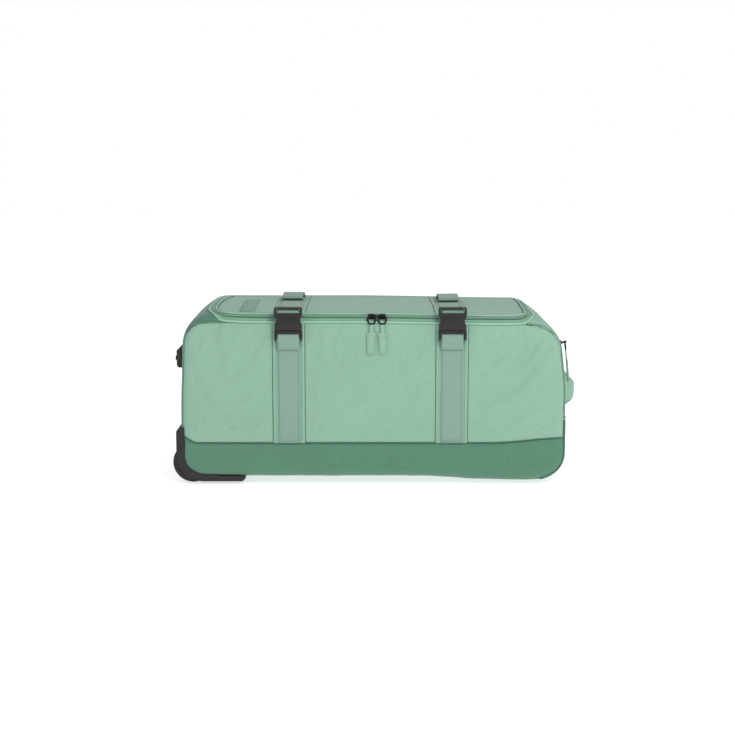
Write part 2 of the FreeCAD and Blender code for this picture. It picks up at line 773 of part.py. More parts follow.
def make_grab_handle():
    """The padded handle on the handle end: two sewn anchors and a bowed grip between them."""
    anchors = []
    for side in (-1, 1):
        y = mid_y + side * grab_half_length
        anchor_y = (y - anchor_half_width, y + anchor_half_width)
        anchor_z = (grab_z - anchor_half_height, grab_z + anchor_half_height)
        anchors.append(block(body_right, body_right + anchor_thickness, *anchor_y, *anchor_z))
    save("grab_anchors", Part.makeCompound(anchors))
    low = grab_z - grab_height / 2
    start_x = body_right + grab_gap

    def bow(inset):
        a = Vector(start_x - 1, mid_y - grab_half_length + inset, low)
        b = Vector(body_right + grab_reach - inset, mid_y, low)
        c = Vector(start_x - 1, mid_y + grab_half_length - inset, low)
        wire = Part.Wire([Part.Arc(a, b, c).toShape(), Part.LineSegment(c, a).toShape()])
        return Part.Face(wire).extrude(Vector(0, 0, grab_height))

    grip = bow(0).cut(bow(grab_thick))
    save("grab_handle", grip.common(block(start_x, far, -far, far, -far, far)))


# ---------------------------------------------------------------- the whole bag
def main():
    """Builds every node."""
    bag = envelope()
    front_housing = housing_block()
    make_panels(bag, [front_housing, other_side(front_housing)])
    make_zip_tapes(bag)
    make_wheels(bag)
    make_feet()
    make_trolley(bag)
    make_straps(bag)
    make_main_sliders()
    make_pocket_zip(bag)
    make_grab_handle()


main()
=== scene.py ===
import json
import math

import bmesh
import bpy
import numpy as np
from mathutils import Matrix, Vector, noise


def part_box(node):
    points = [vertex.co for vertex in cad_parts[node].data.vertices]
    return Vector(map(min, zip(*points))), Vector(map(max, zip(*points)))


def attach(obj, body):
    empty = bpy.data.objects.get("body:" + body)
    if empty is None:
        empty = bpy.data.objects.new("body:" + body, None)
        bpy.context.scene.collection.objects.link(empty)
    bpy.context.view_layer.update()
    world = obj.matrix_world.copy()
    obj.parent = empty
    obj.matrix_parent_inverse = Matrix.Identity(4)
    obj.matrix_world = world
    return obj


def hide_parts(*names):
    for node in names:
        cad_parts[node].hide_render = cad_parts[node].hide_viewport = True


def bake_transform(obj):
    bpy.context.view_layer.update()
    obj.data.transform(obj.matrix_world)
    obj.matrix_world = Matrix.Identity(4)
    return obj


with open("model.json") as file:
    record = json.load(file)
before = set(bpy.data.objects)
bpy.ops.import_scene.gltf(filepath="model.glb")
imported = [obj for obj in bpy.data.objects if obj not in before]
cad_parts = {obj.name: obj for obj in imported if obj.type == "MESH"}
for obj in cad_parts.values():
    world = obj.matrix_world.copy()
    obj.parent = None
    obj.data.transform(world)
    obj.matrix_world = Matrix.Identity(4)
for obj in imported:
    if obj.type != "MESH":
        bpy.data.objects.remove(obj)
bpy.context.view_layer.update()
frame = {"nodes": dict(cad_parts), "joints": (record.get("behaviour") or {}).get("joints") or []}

MM = 0.001
nodes = frame["nodes"]

# ---------------------------------------------------------------- sizes read from the frame
front_low, front_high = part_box("front_panel")
back_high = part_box("back_panel")[1]
lid_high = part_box("lid_panel")[1]
bottom_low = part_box("bottom_panel")[0]
left_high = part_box("wheel_end_panel")[1]
end_low, end_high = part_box("handle_end_base")
housing_low, housing_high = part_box("wheel_housing_front")
housing_back_low, housing_back_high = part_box("wheel_housing_back")
cup_low, cup_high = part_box("handle_cup")

LEFT, RIGHT = front_low.x, front_high.x
FRONT, BACK = front_low.y, back_high.y
BASE = bottom_low.z
MID_X, MID_Y = (LEFT + RIGHT) / 2, (FRONT + BACK) / 2
BASE_SEAM = front_low.z
END_SEAM = end_high.z
LID_BACK = lid_high.y

# the form of the clean shell, before it settles
CROWN = 3.5 * MM                         # how much higher the lid's middle is than its front and back
TOP = lid_high.z - CROWN
FRONT_TURN, BACK_TURN = 18 * MM, 22 * MM  # radii of the upright edges
TOP_LEFT, TOP_RIGHT = 54 * MM, 68 * MM   # radii of the four corners, seen from the front
LOW_LEFT, LOW_RIGHT = 43 * MM, 46 * MM
SIDE_SEAM = 3.2 * MM                     # how far inside the outline the front and back are seamed on
FRONT_TOP_SEAM = 13 * MM
BACK_TOP_SEAM = 0.4 * MM
CLOTH = 1.8 * MM


def smooth(a, b, x):
    """0 before a, 1 after b, and smooth between."""
    t = min(1.0, max(0.0, (x - a) / (b - a)))
    return t * t * (3 - 2 * t)


def bell(x, width):
    """1 at 0, falling off to nothing over a few widths."""
    return math.exp(-(x / width) ** 2)


# ---------------------------------------------------------------- outline: the shell seen from the front
def outline_stations():
    """Points (x, z, inward x, inward z) clockwise from the middle of the underside."""
    stations = []

    def run(x0, z0, x1, z1, nx, nz, count):
        for i in range(count):
            t = i / count
            stations.append((x0 + (x1 - x0) * t, z0 + (z1 - z0) * t, nx, nz))

    def turn(cx, cz, radius, a0, count):
        for i in range(count):
            a = math.radians(a0 - 90 * i / count)
            stations.append(
                (cx + radius * math.cos(a), cz + radius * math.sin(a), -math.cos(a), -math.sin(a))
            )

    run(MID_X, BASE, LEFT + LOW_LEFT, BASE, 0, 1, 60)
    turn(LEFT + LOW_LEFT, BASE + LOW_LEFT, LOW_LEFT, 270, 24)
    run(LEFT, BASE + LOW_LEFT, LEFT, TOP - TOP_LEFT, 1, 0, 60)
    turn(LEFT + TOP_LEFT, TOP - TOP_LEFT, TOP_LEFT, 180, 30)
    run(LEFT + TOP_LEFT, TOP, RIGHT - TOP_RIGHT, TOP, 0, -1, 120)
    turn(RIGHT - TOP_RIGHT, TOP - TOP_RIGHT, TOP_RIGHT, 90, 34)
    run(RIGHT, TOP - TOP_RIGHT, RIGHT, BASE + LOW_RIGHT, -1, 0, 60)
    turn(RIGHT - LOW_RIGHT, BASE + LOW_RIGHT, LOW_RIGHT, 0, 24)
    run(RIGHT - LOW_RIGHT, BASE, MID_X, BASE, 0, 1, 60)
    stations.append((MID_X, BASE, 0, 1))
    return np.array(stations)


OUTLINE = outline_stations()
ALONG = np.concatenate([[0], np.cumsum(np.hypot(*np.diff(OUTLINE[:, :2], axis=0).T))])


def ring(s):
    """(x, z, inward x, inward z) at a distance s along the outline."""
    return [float(np.interp(s, ALONG, OUTLINE[:, k])) for k in range(4)]


def station(test):
    """The distance along the outline of the first station that passes a test."""
    for s, (x, z, nx, nz) in zip(ALONG, OUTLINE):
        if test(x, z):
            return float(s)
    raise ValueError("no such station on the outline")


S_LOW_LEFT = station(lambda x, z: x < left_high.x and z < BASE + MM)
S_TOP_LEFT = station(lambda x, z: x > LEFT + TOP_LEFT - MM and z > TOP - MM)
S_TOP_RIGHT = station(lambda x, z: x > RIGHT - TOP_RIGHT - MM and z > TOP - MM)
S_END_SEAM = station(lambda x, z: x > RIGHT - MM and z < END_SEAM)
S_LOW_RIGHT = station(lambda x, z: x > MID_X and x < end_low.x and z < BASE + 5 * MM)


def top_share(s):
    """1 along the top of the outline, 0 along its ends and underside."""
    return smooth(S_TOP_LEFT - 60 * MM, S_TOP_LEFT, s) * (1 - smooth(S_TOP_RIGHT, S_TOP_RIGHT + 75 * MM, s))


def front_seam(s):
    return SIDE_SEAM + (FRONT_TOP_SEAM - SIDE_SEAM) * top_share(s)


def back_seam(s):
    return SIDE_SEAM + (BACK_TOP_SEAM - SIDE_SEAM) * top_share(s)


def inside(x, z):
    """How far a point of the front view lies inside the outline."""
    for cx, cz, radius, sx, sz in (
        (LEFT + TOP_LEFT, TOP - TOP_LEFT, TOP_LEFT, -1, 1),
        (RIGHT - TOP_RIGHT, TOP - TOP_RIGHT, TOP_RIGHT, 1, 1),
        (LEFT + LOW_LEFT, BASE + LOW_LEFT, LOW_LEFT, -1, -1),
        (RIGHT - LOW_RIGHT, BASE + LOW_RIGHT, LOW_RIGHT, 1, -1),
    ):
        if (x - cx) * sx > 0 and (z - cz) * sz > 0:
            return radius - math.hypot(x - cx, z - cz)
    return min(x - LEFT, RIGHT - x, z - BASE, TOP - z)


def turned(depth, radius):
    """How far an edge of that radius has turned away from the face, at a depth inside the outline."""
    rest = max(0.0, radius - max(0.0, depth))
    return radius - math.sqrt(max(0.0, radius * radius - rest * rest))


def front_face(x, z, lift=0.0):
    return Vector((x, FRONT + turned(inside(x, z), FRONT_TURN) - lift, z))


def back_face(x, z, lift=0.0):
    return Vector((x, BACK - turned(inside(x, z), BACK_TURN) + lift, z))


def inset(y):
    """How far the outline has shrunk at a depth y, where the upright edges turn."""
    if y < FRONT + FRONT_TURN:
        return turned(y - FRONT, FRONT_TURN)
    if y > BACK - BACK_TURN:
        return turned(BACK - y, BACK_TURN)
    return 0.0


def side(s, y, lift=0.0):
    """A point of the shell at a distance along the outline and a depth."""
    x, z, nx, nz = ring(s)
    d = inset(y) - lift
    return Vector((x + nx * d, y, z + nz * d))


def top_height(x, depth):
    """The height of the clean shell's top where the outline has shrunk by a depth."""
    for cx, cz, radius, sx in (
        (LEFT + TOP_LEFT, TOP - TOP_LEFT, TOP_LEFT, -1), (RIGHT - TOP_RIGHT, TOP - TOP_RIGHT, TOP_RIGHT, 1),
    ):
        if (x - cx) * sx > 0:
            return cz + math.sqrt(max(0.0, (radius - depth) ** 2 - (x - cx) ** 2))
    return TOP - depth


def on_top(x, q, lift=0.0):
    """A point of the top at x and a distance q along the cloth: y on the flat, then down the front edge."""
    edge = FRONT + FRONT_TURN
    if q >= edge:
        y = min(q, BACK)
        return Vector((x, y, top_height(x, inset(y)) + lift))
    turn = min(math.pi / 2, (edge - q) / FRONT_TURN)
    y = edge - FRONT_TURN * math.sin(turn)
    return Vector((x, y - lift * math.sin(turn), top_height(x, inset(y)) + lift * math.cos(turn)))


# ---------------------------------------------------------------- how the stuffed bag settles
# each fold: its place as a share of the front's width and height, lean, half length, half width, depth
FOLDS = [
    (0.112, 0.92, 84, 24, 3.6, 2.4),
    (0.128, 0.62, 72, 30, 8.0, 1.2),
    (0.230, 0.84, 78, 32, 5.0, 1.5),
    (0.165, 0.30, 20, 60, 10.0, 1.2),
    (0.060, 0.74, 62, 36, 7.0, 1.0),
    (0.43, 0.40, 4, 40, 4.0, 0.7),
    (0.47, 0.32, -3, 50, 4.0, 0.6),
    (0.54, 0.47, 6, 34, 3.6, 0.6),
    (0.40, 0.22, 8, 44, 5.0, 0.7),
    (0.56, 0.17, -5, 46, 6.0, 0.7),
    (0.83, 0.62, 38, 60, 8.0, 1.7),
    (0.90, 0.45, 46, 66, 9.0, 2.0),
    (0.82, 0.30, 30, 60, 10.0, 1.7),
    (0.94, 0.74, 60, 44, 6.0, 1.5),
    (0.77, 0.15, 16, 60, 8.0, 1.2),
    (0.89, 0.18, 28, 50, 7.0, 1.3),
]

FOLD_GAIN = 1.7                          # how much deeper every fold is than listed


def fold(x, z, where):
    """One soft fold: a ridge with a valley beside it."""
    u, v, lean, length, width, depth = where
    dx = x - (LEFT + u * (RIGHT - LEFT))
    dz = z - (BASE_SEAM + v * (TOP - BASE_SEAM))
    c, s = math.cos(math.radians(lean)), math.sin(math.radians(lean))
    along = (dx * c + dz * s) / (length * MM)
    across = (dz * c - dx * s) / (width * MM)
    if abs(along) > 1 or abs(across) > 4:
        return 0.0
    return FOLD_GAIN * depth * MM * (1 - along * along) ** 2 * (bell(across, 1) - 0.6 * bell(across - 1.5, 1))


def seam_height(x):
    """The top edge of the dark base band, which climbs at both ends of the bag."""
    left = 11 * MM * (1 - smooth(LEFT + 3 * MM, LEFT + 28 * MM, x))
    right = 9 * MM * smooth(RIGHT - 130 * MM, RIGHT, x)
    return BASE_SEAM - 1 * MM + left + right


def fullness(x, z):
    """How far the stuffing pushes the front and back out, before folds."""
    u = min(1.0, max(0.0, (x - LEFT) / (RIGHT - LEFT)))
    seam = seam_height(x)
    low, high = (seam, TOP) if z >= seam else (BASE - 25 * MM, seam)
    v = min(1.0, max(0.0, (z - low) / (high - low)))
    return math.sin(math.pi * u) ** 0.4 * math.sin(math.pi * v) ** 0.55


def rough(p, size, depth, seed):
    q = Vector((p[0] / size + seed, p[1] / size, p[2] / size))
    return depth * (noise.noise(q) + 0.45 * noise.noise(q * 2.3))


BAND_EDGES = []
for name in ("front_band_left", "front_band_right"):
    low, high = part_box(name)
    BAND_EDGES += [low.x, high.x]


def settle(p):
    """Where a point of the clean shell, or of anything sewn on it, ends up on the packed, sagging bag."""
    x, y, z = p
    front = 1 - smooth(FRONT + 4 * MM, FRONT + 55 * MM, y)
    back = smooth(BACK - 60 * MM, BACK - 4 * MM, y)
    high = smooth(0.245, 0.288, z)
    # the lid's crown, and its sinking towards the handle end
    reach = (y - MID_Y) / (MID_Y - FRONT)
    dz = high * (CROWN * (1 - reach * reach) - 6 * MM * smooth(-0.05, 0.26, x) * (1 - 0.35 * abs(reach)))
    dz += high * rough((x, y, 0), 0.11, 1.3 * MM, 3.0) * (1 - abs(reach))
    # the ends lean in towards the top, and swell between their seams
    dx = 5 * MM * smooth(0.12, 0.27, z) * (1 - smooth(LEFT, LEFT + 60 * MM, x))
    dx -= 8.5 * MM * smooth(0.16, 0.262, z) * smooth(RIGHT - 110 * MM, RIGHT - 40 * MM, x)
    # the front and back: stuffing, folds, seams that pull in, and the underside's small waves
    push = 2.4 * MM * fullness(x, z)
    calm = smooth(0, 30 * MM, inside(x, z) - SIDE_SEAM)
    for edge in BAND_EDGES:
        calm *= 1 - 0.75 * bell(x - edge, 10 * MM)
    soft = rough((x, 0, z), 0.085, 1.2 * MM, 1.0) + rough((x, 0, z), 0.027, 0.4 * MM, 9.0)
    dy = -front * (push + calm * (soft + sum(fold(x, z, f) for f in FOLDS)))
    dy += back * (
        1.4 * push + calm * (rough((x, 3, z), 0.10, 1.8 * MM, 4.0) + rough((x, 3, z), 0.03, 0.4 * MM, 2.0))
    )
    low = 1 - smooth(BASE, BASE + 30 * MM, z)
    dz += low * 1.2 * MM * noise.noise(Vector((x / 0.035, y / 0.12, 0)))
    dz += low * (4.0 - 7.0 * smooth(0.06, 0.22, x) + 3.0 * smooth(0.27, 0.31, x)) * MM
    return Vector((x + dx, y + dy, z + dz))


# ---------------------------------------------------------------- materials
def linear(red, green, blue):
    """A colour given as 0 to 255 screen values, as the linear values that shaders take."""
    def one(c):
        c /= 255
        return c / 12.92 if c <= 0.04045 else ((c + 0.055) / 1.055) ** 2.4
    return (one(red), one(green), one(blue), 1.0)


class Shader:
    """A node material under construction."""

    def __init__(self, name, roughness, **fixed):
        self.material = bpy.data.materials.new(name)
        self.material.use_nodes = True
        self.tree = self.material.node_tree
        self.surface = self.tree.nodes["Principled BSDF"]
        self.surface.inputs["Roughness"].default_value = roughness
        for socket, value in fixed.items():
            self.surface.inputs[socket.replace("_", " ")].default_value = value
        self.place = self.node("ShaderNodeTexCoord").outputs["Object"]

    def node(self, kind, **settings):
        made = self.tree.nodes.new(kind)
        for key, value in settings.items():
            setattr(made, key, value)
        return made

    def link(self, source, target):
        self.tree.links.new(source, target)

    def stretched(self, scale):
        """The object's own coordinates, scaled along each axis."""
        mapping = self.node("ShaderNodeMapping")
        mapping.inputs["Scale"].default_value = scale
        self.link(self.place, mapping.inputs["Vector"])
        return mapping.outputs["Vector"]

    def grain(self, scale, detail=2.0, roughness=0.5):
        """Noise, with a scale for each axis."""
        made = self.node("ShaderNodeTexNoise")
        made.inputs["Scale"].default_value = 1.0
        made.inputs["Detail"].default_value = detail
        made.inputs["Roughness"].default_value = roughness
        self.link(self.stretched(scale), made.inputs["Vector"])
        return made.outputs["Fac"]

    def waves(self, axis, pitch):
        """Threads side by side along an axis, a pitch apart."""
        made = self.node("ShaderNodeTexWave", wave_type="BANDS", bands_direction=axis, wave_profile="SIN")
        made.inputs["Scale"].default_value = math.pi / (10 * pitch)
        self.link(self.place, made.inputs["Vector"])
        return made.outputs["Fac"]

    def sums(self, *terms):
        """The weighted sum of some (output, weight) pairs."""
        total = None
        for output, weight in terms:
            part = self.node("ShaderNodeMath", operation="MULTIPLY_ADD")
            self.link(output, part.inputs[0])
            part.inputs[1].default_value = weight
            if total is None:
                part.inputs[2].default_value = 0.0
            else:
                self.link(total, part.inputs[2])
            total = part.outputs[0]
        return total

    def spread(self, value, low, high, to_low=0.0, to_high=1.0):
        made = self.node("ShaderNodeMapRange")
        made.inputs["From Min"].default_value = low
        made.inputs["From Max"].default_value = high
        made.inputs["To Min"].default_value = to_low
        made.inputs["To Max"].default_value = to_high
        self.link(value, made.inputs["Value"])
        return made.outputs["Result"]

    def mixed(self, share, a, b):
        """A colour between two, each a fixed colour or another node's output."""
        made = self.node("ShaderNodeMix", data_type="RGBA")
        self.link(share, made.inputs["Factor"])
        for socket, value in ((made.inputs[6], a), (made.inputs[7], b)):
            if isinstance(value, tuple):
                socket.default_value = value
            else:
                self.link(value, socket)
        return made.outputs[2]

    def coloured(self, colour):
        self.link(colour, self.surface.inputs["Base Color"])

    def bumped(self, height, distance, strength=1.0):
        made = self.node("ShaderNodeBump")
        made.inputs["Strength"].default_value = strength
        made.inputs["Distance"].default_value = distance
        self.link(height, made.inputs["Height"])
        self.link(made.outputs["Normal"], self.surface.inputs["Normal"])

    def roughened(self, value, low, high):
        self.link(self.spread(value, 0.3, 0.7, low, high), self.surface.inputs["Roughness"])


def darker(colour, share):
    return tuple(c * share for c in colour[:3]) + (1.0,)


def cloth_material(name, colour, pitch=0.9 * MM, sheen=0.25, melange=0.10):
    """A woven polyester: threads both ways, a heathered fleck along them, and slow changes of tone."""
    made = Shader(name, 0.82, Sheen_Weight=sheen, Sheen_Roughness=0.45, Specular_IOR_Level=0.28)
    fleck = made.grain((160, 420, 1100), 3.0, 0.6)
    slow = made.grain((7, 7, 9), 2.0)
    rubbed = made.grain((45, 45, 60), 4.0, 0.65)
    heather = made.mixed(
        made.spread(fleck, 0.30, 0.70), darker(colour, 1 - melange), darker(colour, 1 + 0.6 * melange),
    )
    toned = made.mixed(made.spread(slow, 0.35, 0.65, 0.0, 0.22), heather, darker(colour, 0.86))
    made.coloured(made.mixed(made.spread(rubbed, 0.56, 0.78, 0.0, 0.16), toned, darker(colour, 1.16)))
    threads = made.sums(
        (made.waves("X", pitch), 0.4), (made.waves("Y", pitch), 0.4), (made.waves("Z", pitch), 0.4),
        (fleck, 0.8), (made.grain((90, 90, 90), 3.0), 1.3),
    )
    made.bumped(threads, 0.28 * MM, 0.75)
    made.roughened(rubbed, 0.88, 0.74)
    return made.material


def webbing_material(name, colour):
    """Flat nylon webbing: fine ribs across it, a twill run, and slightly worn raised threads."""
    made = Shader(name, 0.7, Sheen_Weight=0.2, Sheen_Roughness=0.4, Specular_IOR_Level=0.35)
    fleck = made.grain((700, 300, 700), 2.0)
    slow = made.grain((14, 14, 14), 2.0)
    ribs = made.waves("X", 1.5 * MM)
    picks = made.sums((made.waves("Y", 1.1 * MM), 1.0), (made.waves("Z", 1.1 * MM), 1.0))
    shade = made.mixed(made.spread(ribs, 0.0, 1.0, 0.0, 0.35), colour, darker(colour, 0.82))
    made.coloured(made.mixed(made.spread(slow, 0.35, 0.65, 0.0, 0.3), shade, darker(colour, 0.88)))
    made.bumped(made.sums((ribs, 1.0), (picks, 0.5), (fleck, 0.5)), 0.35 * MM, 0.8)
    made.roughened(fleck, 0.62, 0.78)
    return made.material


def plastic_material(name, colour, roughness=0.42, grain=900, scuff=0.35):
    """Moulded plastic: a fine spark-eroded grain, slow changes of gloss and pale scuffs."""
    made = Shader(name, roughness, Specular_IOR_Level=0.5)
    fine = made.grain((grain, grain, grain), 2.0)
    slow = made.grain((30, 30, 30), 3.0)
    scratch = made.grain((60, 900, 300), 4.0, 0.7)
    body = made.mixed(made.spread(slow, 0.35, 0.65), colour, darker(colour, 1.25))
    made.coloured(made.mixed(made.spread(scratch, 0.62, 0.80, 0.0, scuff), body, darker(colour, 2.6)))
    made.bumped(made.sums((fine, 1.0), (slow, 0.6)), 0.12 * MM, 0.6)
    made.roughened(slow, roughness - 0.07, roughness + 0.12)
    return made.material


def rubber_material(name, colour):
    made = Shader(name, 0.72, Specular_IOR_Level=0.35)
    fine = made.grain((500, 500, 500), 3.0)
    dust = made.grain((40, 90, 40), 5.0, 0.7)
    made.coloured(made.mixed(made.spread(dust, 0.45, 0.75, 0.0, 0.5), colour, linear(92, 90, 84)))
    made.bumped(fine, 0.15 * MM, 0.7)
    made.roughened(dust, 0.66, 0.86)
    return made.material


def metal_material(name, colour, roughness, streak):
    """Metal with a drawn finish: fine streaks along one axis, and handling marks."""
    made = Shader(name, roughness, Metallic=1.0)
    drawn = made.grain(streak, 3.0, 0.6)
    marks = made.grain((55, 55, 55), 4.0, 0.6)
    made.coloured(made.mixed(made.spread(drawn, 0.3, 0.7), colour, darker(colour, 0.8)))
    made.bumped(drawn, 0.05 * MM, 0.5)
    made.roughened(made.sums((drawn, 0.5), (marks, 0.5)), roughness - 0.08, roughness + 0.14)
    return made.material


LIGHT = linear(141, 179, 159)
DARK = linear(88, 133, 110)
WEB = linear(136, 167, 151)

MAT = {
    "light": cloth_material("cloth_light", LIGHT),
    "dark": cloth_material("cloth_dark", DARK, melange=0.14),
    "patch": cloth_material("cloth_patch", linear(130, 165, 146), pitch=0.7 * MM, sheen=0.1),
    "lining": cloth_material("cloth_lining", linear(86, 104, 96), pitch=0.6 * MM, sheen=0.05),
    "web": webbing_material("webbing_green", WEB),
    "tape": webbing_material("zip_tape_green", linear(134, 178, 154)),
    "piping": cloth_material("piping_light", linear(158, 200, 177), pitch=0.6 * MM, sheen=0.3),
    "dark_piping": cloth_material("piping_dark", linear(70, 112, 92), pitch=0.6 * MM),
    "thread": cloth_material("thread_green", linear(104, 148, 124), pitch=0.5 * MM, melange=0.2),
    "coil": plastic_material("zip_coil", linear(126, 168, 146), 0.4, scuff=0.1),
    "black": plastic_material("plastic_black", linear(18, 18, 17), 0.5),
    "gloss": plastic_material("plastic_gloss", linear(14, 14, 13), 0.42, grain=400, scuff=0.15),
    "button": plastic_material("button_grey", linear(96, 98, 98), 0.4),
    "board": plastic_material("board_grey", linear(120, 122, 120), 0.6, grain=300),
    "tyre": rubber_material("tyre_rubber", linear(46, 45, 44)),
    "foot": rubber_material("foot_rubber", linear(52, 50, 49)),
    "tube": metal_material("tube_aluminium", linear(186, 188, 190), 0.34, (20, 2500, 2500)),
    "steel": metal_material("steel_bright", linear(170, 170, 172), 0.3, (900, 900, 900)),
    "black_metal": metal_material("metal_black", linear(50, 50, 52), 0.38, (600, 600, 600)),
}


# ---------------------------------------------------------------- mesh helpers
def add_piece(name, verts, faces, look, body=None, stands_for=(), merge=None):
    """A mesh object from points and faces, with its finish, riding on a body; the CAD parts it stands for are
    hidden.
    """
    mesh = bpy.data.meshes.new(name)
    mesh.from_pydata([tuple(v) for v in verts], [], faces)
    mesh.validate()
    work = bmesh.new()
    work.from_mesh(mesh)
    if merge:
        bmesh.ops.remove_doubles(work, verts=work.verts, dist=merge)
    work.to_mesh(mesh)
    work.free()
    mesh.materials.append(MAT[look])
    mesh.polygons.foreach_set("use_smooth", [True] * len(mesh.polygons))
    obj = bpy.data.objects.new(name, mesh)
    bpy.context.collection.objects.link(obj)
    if stands_for:
        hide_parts(*stands_for)
    if body:
        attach(obj, body)
    return obj


def joined(parts):
    """Several (points, faces) in one."""
    verts, faces = [], []
    for some_verts, some_faces in parts:
        start = len(verts)
        verts += some_verts
        faces += [tuple(i + start for i in face) for face in some_faces]
    return verts, faces


def rows_mesh(rows, closed_across=False, closed_along=False):
    """Points and faces of a grid given as equal rows of points."""
    high, wide = len(rows), len(rows[0])
    verts = [p for row in rows for p in row]
    faces = []
    for i in range(high if closed_along else high - 1):
        for j in range(wide if closed_across else wide - 1):
            a, b = i * wide + j, i * wide + (j + 1) % wide
            c, d = ((i + 1) % high) * wide + (j + 1) % wide, ((i + 1) % high) * wide + j
            faces.append((a, b, c, d))
    return verts, faces


def capped_rows(rows):
    """Points and faces of a tube given as equal rows of points, with a face over each end."""
    verts, faces = rows_mesh(rows, closed_across=True)
    wide = len(rows[0])
    faces.append(tuple(range(wide))[::-1])
    faces.append(tuple(range(len(verts) - wide, len(verts))))
    return verts, faces


def frames_along(points, closed=False):
    """A tangent and two crosswise directions at each point of a path, turning as little as they can."""
    count = len(points)
    result = []
    side_way = None
    for i, p in enumerate(points):
        before = points[i - 1] if closed or i else points[0]
        after = points[(i + 1) % count] if closed or i < count - 1 else points[-1]
        tangent = (after - before).normalized()
        if side_way is None:
            guess = Vector((0, 0, 1)) if abs(tangent.z) < 0.9 else Vector((0, 1, 0))
            side_way = tangent.cross(guess).normalized()
        side_way = (side_way - tangent * side_way.dot(tangent)).normalized()
        result.append((tangent, side_way, tangent.cross(side_way)))
    return result


def tube_rows(points, radius, sides=10, closed=False):
    """Points and faces of a round cord along a path, its ends closed by shrinking them."""
    rows = []
    count = len(points)
    for i, (p, (tangent, a, b)) in enumerate(zip(points, frames_along(points, closed))):
        r = radius
        if not closed and i in (0, count - 1):
            r = radius * 0.05
        rows.append(
            [
                p + (a * math.cos(t) + b * math.sin(t)) * r
                for t in (2 * math.pi * k / sides for k in range(sides))
            ]
        )
    return rows_mesh(rows, closed_across=True, closed_along=closed)


def evenly(points, step):
    """A path's points again, about a step apart."""
    lengths = np.concatenate([[0], np.cumsum([(b - a).length for a, b in zip(points, points[1:])])])
    count = max(2, int(round(lengths[-1] / step)) + 1)
    wanted = np.linspace(0, lengths[-1], count)
    columns = [np.interp(wanted, lengths, [p[k] for p in points]) for k in range(len(points[0]))]
    return [Vector(c) for c in zip(*columns)]


def rounded(points, times=2):
    """A path with its corners cut a few times, its ends kept."""
    for _ in range(times):
        softer = [points[0]]
        for a, b in zip(points, points[1:]):
            softer += [a.lerp(b, 0.25), a.lerp(b, 0.75)]
        points = softer + [points[-1]]
    return points


STRAP_EDGE = 0.35                        # how much of its thickness webbing rounds off at each edge


def strap_rows(stations, half_width, thickness):
    """Points and faces of flat webbing. A station is its centre, its width's direction and its face's."""
    reach = half_width - thickness * STRAP_EDGE
    profile = []
    for k in range(9):
        profile.append((-reach + 2 * reach * k / 8, thickness / 2))
    profile.append((half_width, 0.0))
    for k in range(9):
        profile.append((reach - 2 * reach * k / 8, -thickness / 2))
    profile.append((-half_width, 0.0))
    rows = [[centre + across * a + up * b for a, b in profile] for centre, across, up in stations]
    return capped_rows(rows)


def stitches(path, up, pitch, length, radius=0.35 * MM):
    """Short raised stitches along a path; up gives the cloth's face at a point."""
    parts = []
    points = evenly(path, pitch)
    for p, (tangent, a, b) in zip(points, frames_along(points)):
        out = up(p)
        row = []
        for share, high in ((-0.5, -0.2), (-0.25, 0.75), (0.0, 1.0), (0.25, 0.75), (0.5, -0.2)):
            row.append(p + tangent * length * share + out * radius * high)
        parts.append(tube_rows(row, radius, sides=6))
    return joined(parts)


def poly_prism(outline, y0, y1, bevel=0.0, holes=()):
    """A plate with rounded edges: an outline of (x, z) points from y0 to y1; holes are outlines too."""
    work = bmesh.new()
    loops = [outline] + list(holes)
    edges = []
    for loop in loops:
        made = [work.verts.new((x, y0, z)) for x, z in loop]
        edges += [work.edges.new((made[i], made[(i + 1) % len(made)])) for i in range(len(made))]
    filled = bmesh.ops.triangle_fill(work, use_beauty=True, use_dissolve=True, edges=edges)
    flat = [f for f in filled["geom"] if isinstance(f, bmesh.types.BMFace)]
    pushed = bmesh.ops.extrude_face_region(work, geom=flat)
    moved = [v for v in pushed["geom"] if isinstance(v, bmesh.types.BMVert)]
    bmesh.ops.translate(work, vec=(0, y1 - y0, 0), verts=moved)
    bmesh.ops.recalc_face_normals(work, faces=work.faces)
    if bevel:
        sharp = [e for e in work.edges if len(e.link_faces) == 2 and e.calc_face_angle(0) > math.radians(35)]
        bmesh.ops.bevel(
            work, geom=sharp, offset=bevel, segments=3, profile=0.6, affect="EDGES", clamp_overlap=True,
        )
    verts = [v.co.copy() for v in work.verts]
    work.verts.index_update()
    faces = [tuple(v.index for v in f.verts) for f in work.faces]
    work.free()
    return verts, faces


def turned_rows(profile, centre, sides=64):
    """A body of revolution about an axis along Y; the profile is (radius, y) points, a closed loop."""
    cx, cy, cz = centre
    rows = []
    for k in range(sides):
        a = 2 * math.pi * k / sides
        rows.append([Vector((cx + r * math.cos(a), cy + y, cz + r * math.sin(a))) for r, y in profile])
    return rows_mesh(rows, closed_across=True, closed_along=True)


def smooth_by_angle(obj, degrees=35):
    """Shades round edges smooth and keeps sharp ones sharp."""
    work = bmesh.new()
    work.from_mesh(obj.data)
    for edge in work.edges:
        edge.smooth = len(edge.link_faces) != 2 or edge.calc_face_angle(0) < math.radians(degrees)
    work.to_mesh(obj.data)
    work.free()


def borders(grid, names):
    """The points of the named borders of a grid, close together."""
    lines = {"low": grid[0], "high": grid[-1], "first": grid[:, 0], "last": grid[:, -1]}
    points = []
    for name in names:
        line = lines[name]
        for k in range(4):
            points.append(line[:-1] + (line[1:] - line[:-1]) * k / 4)
        points.append(line[-1:])
    return np.concatenate(points)


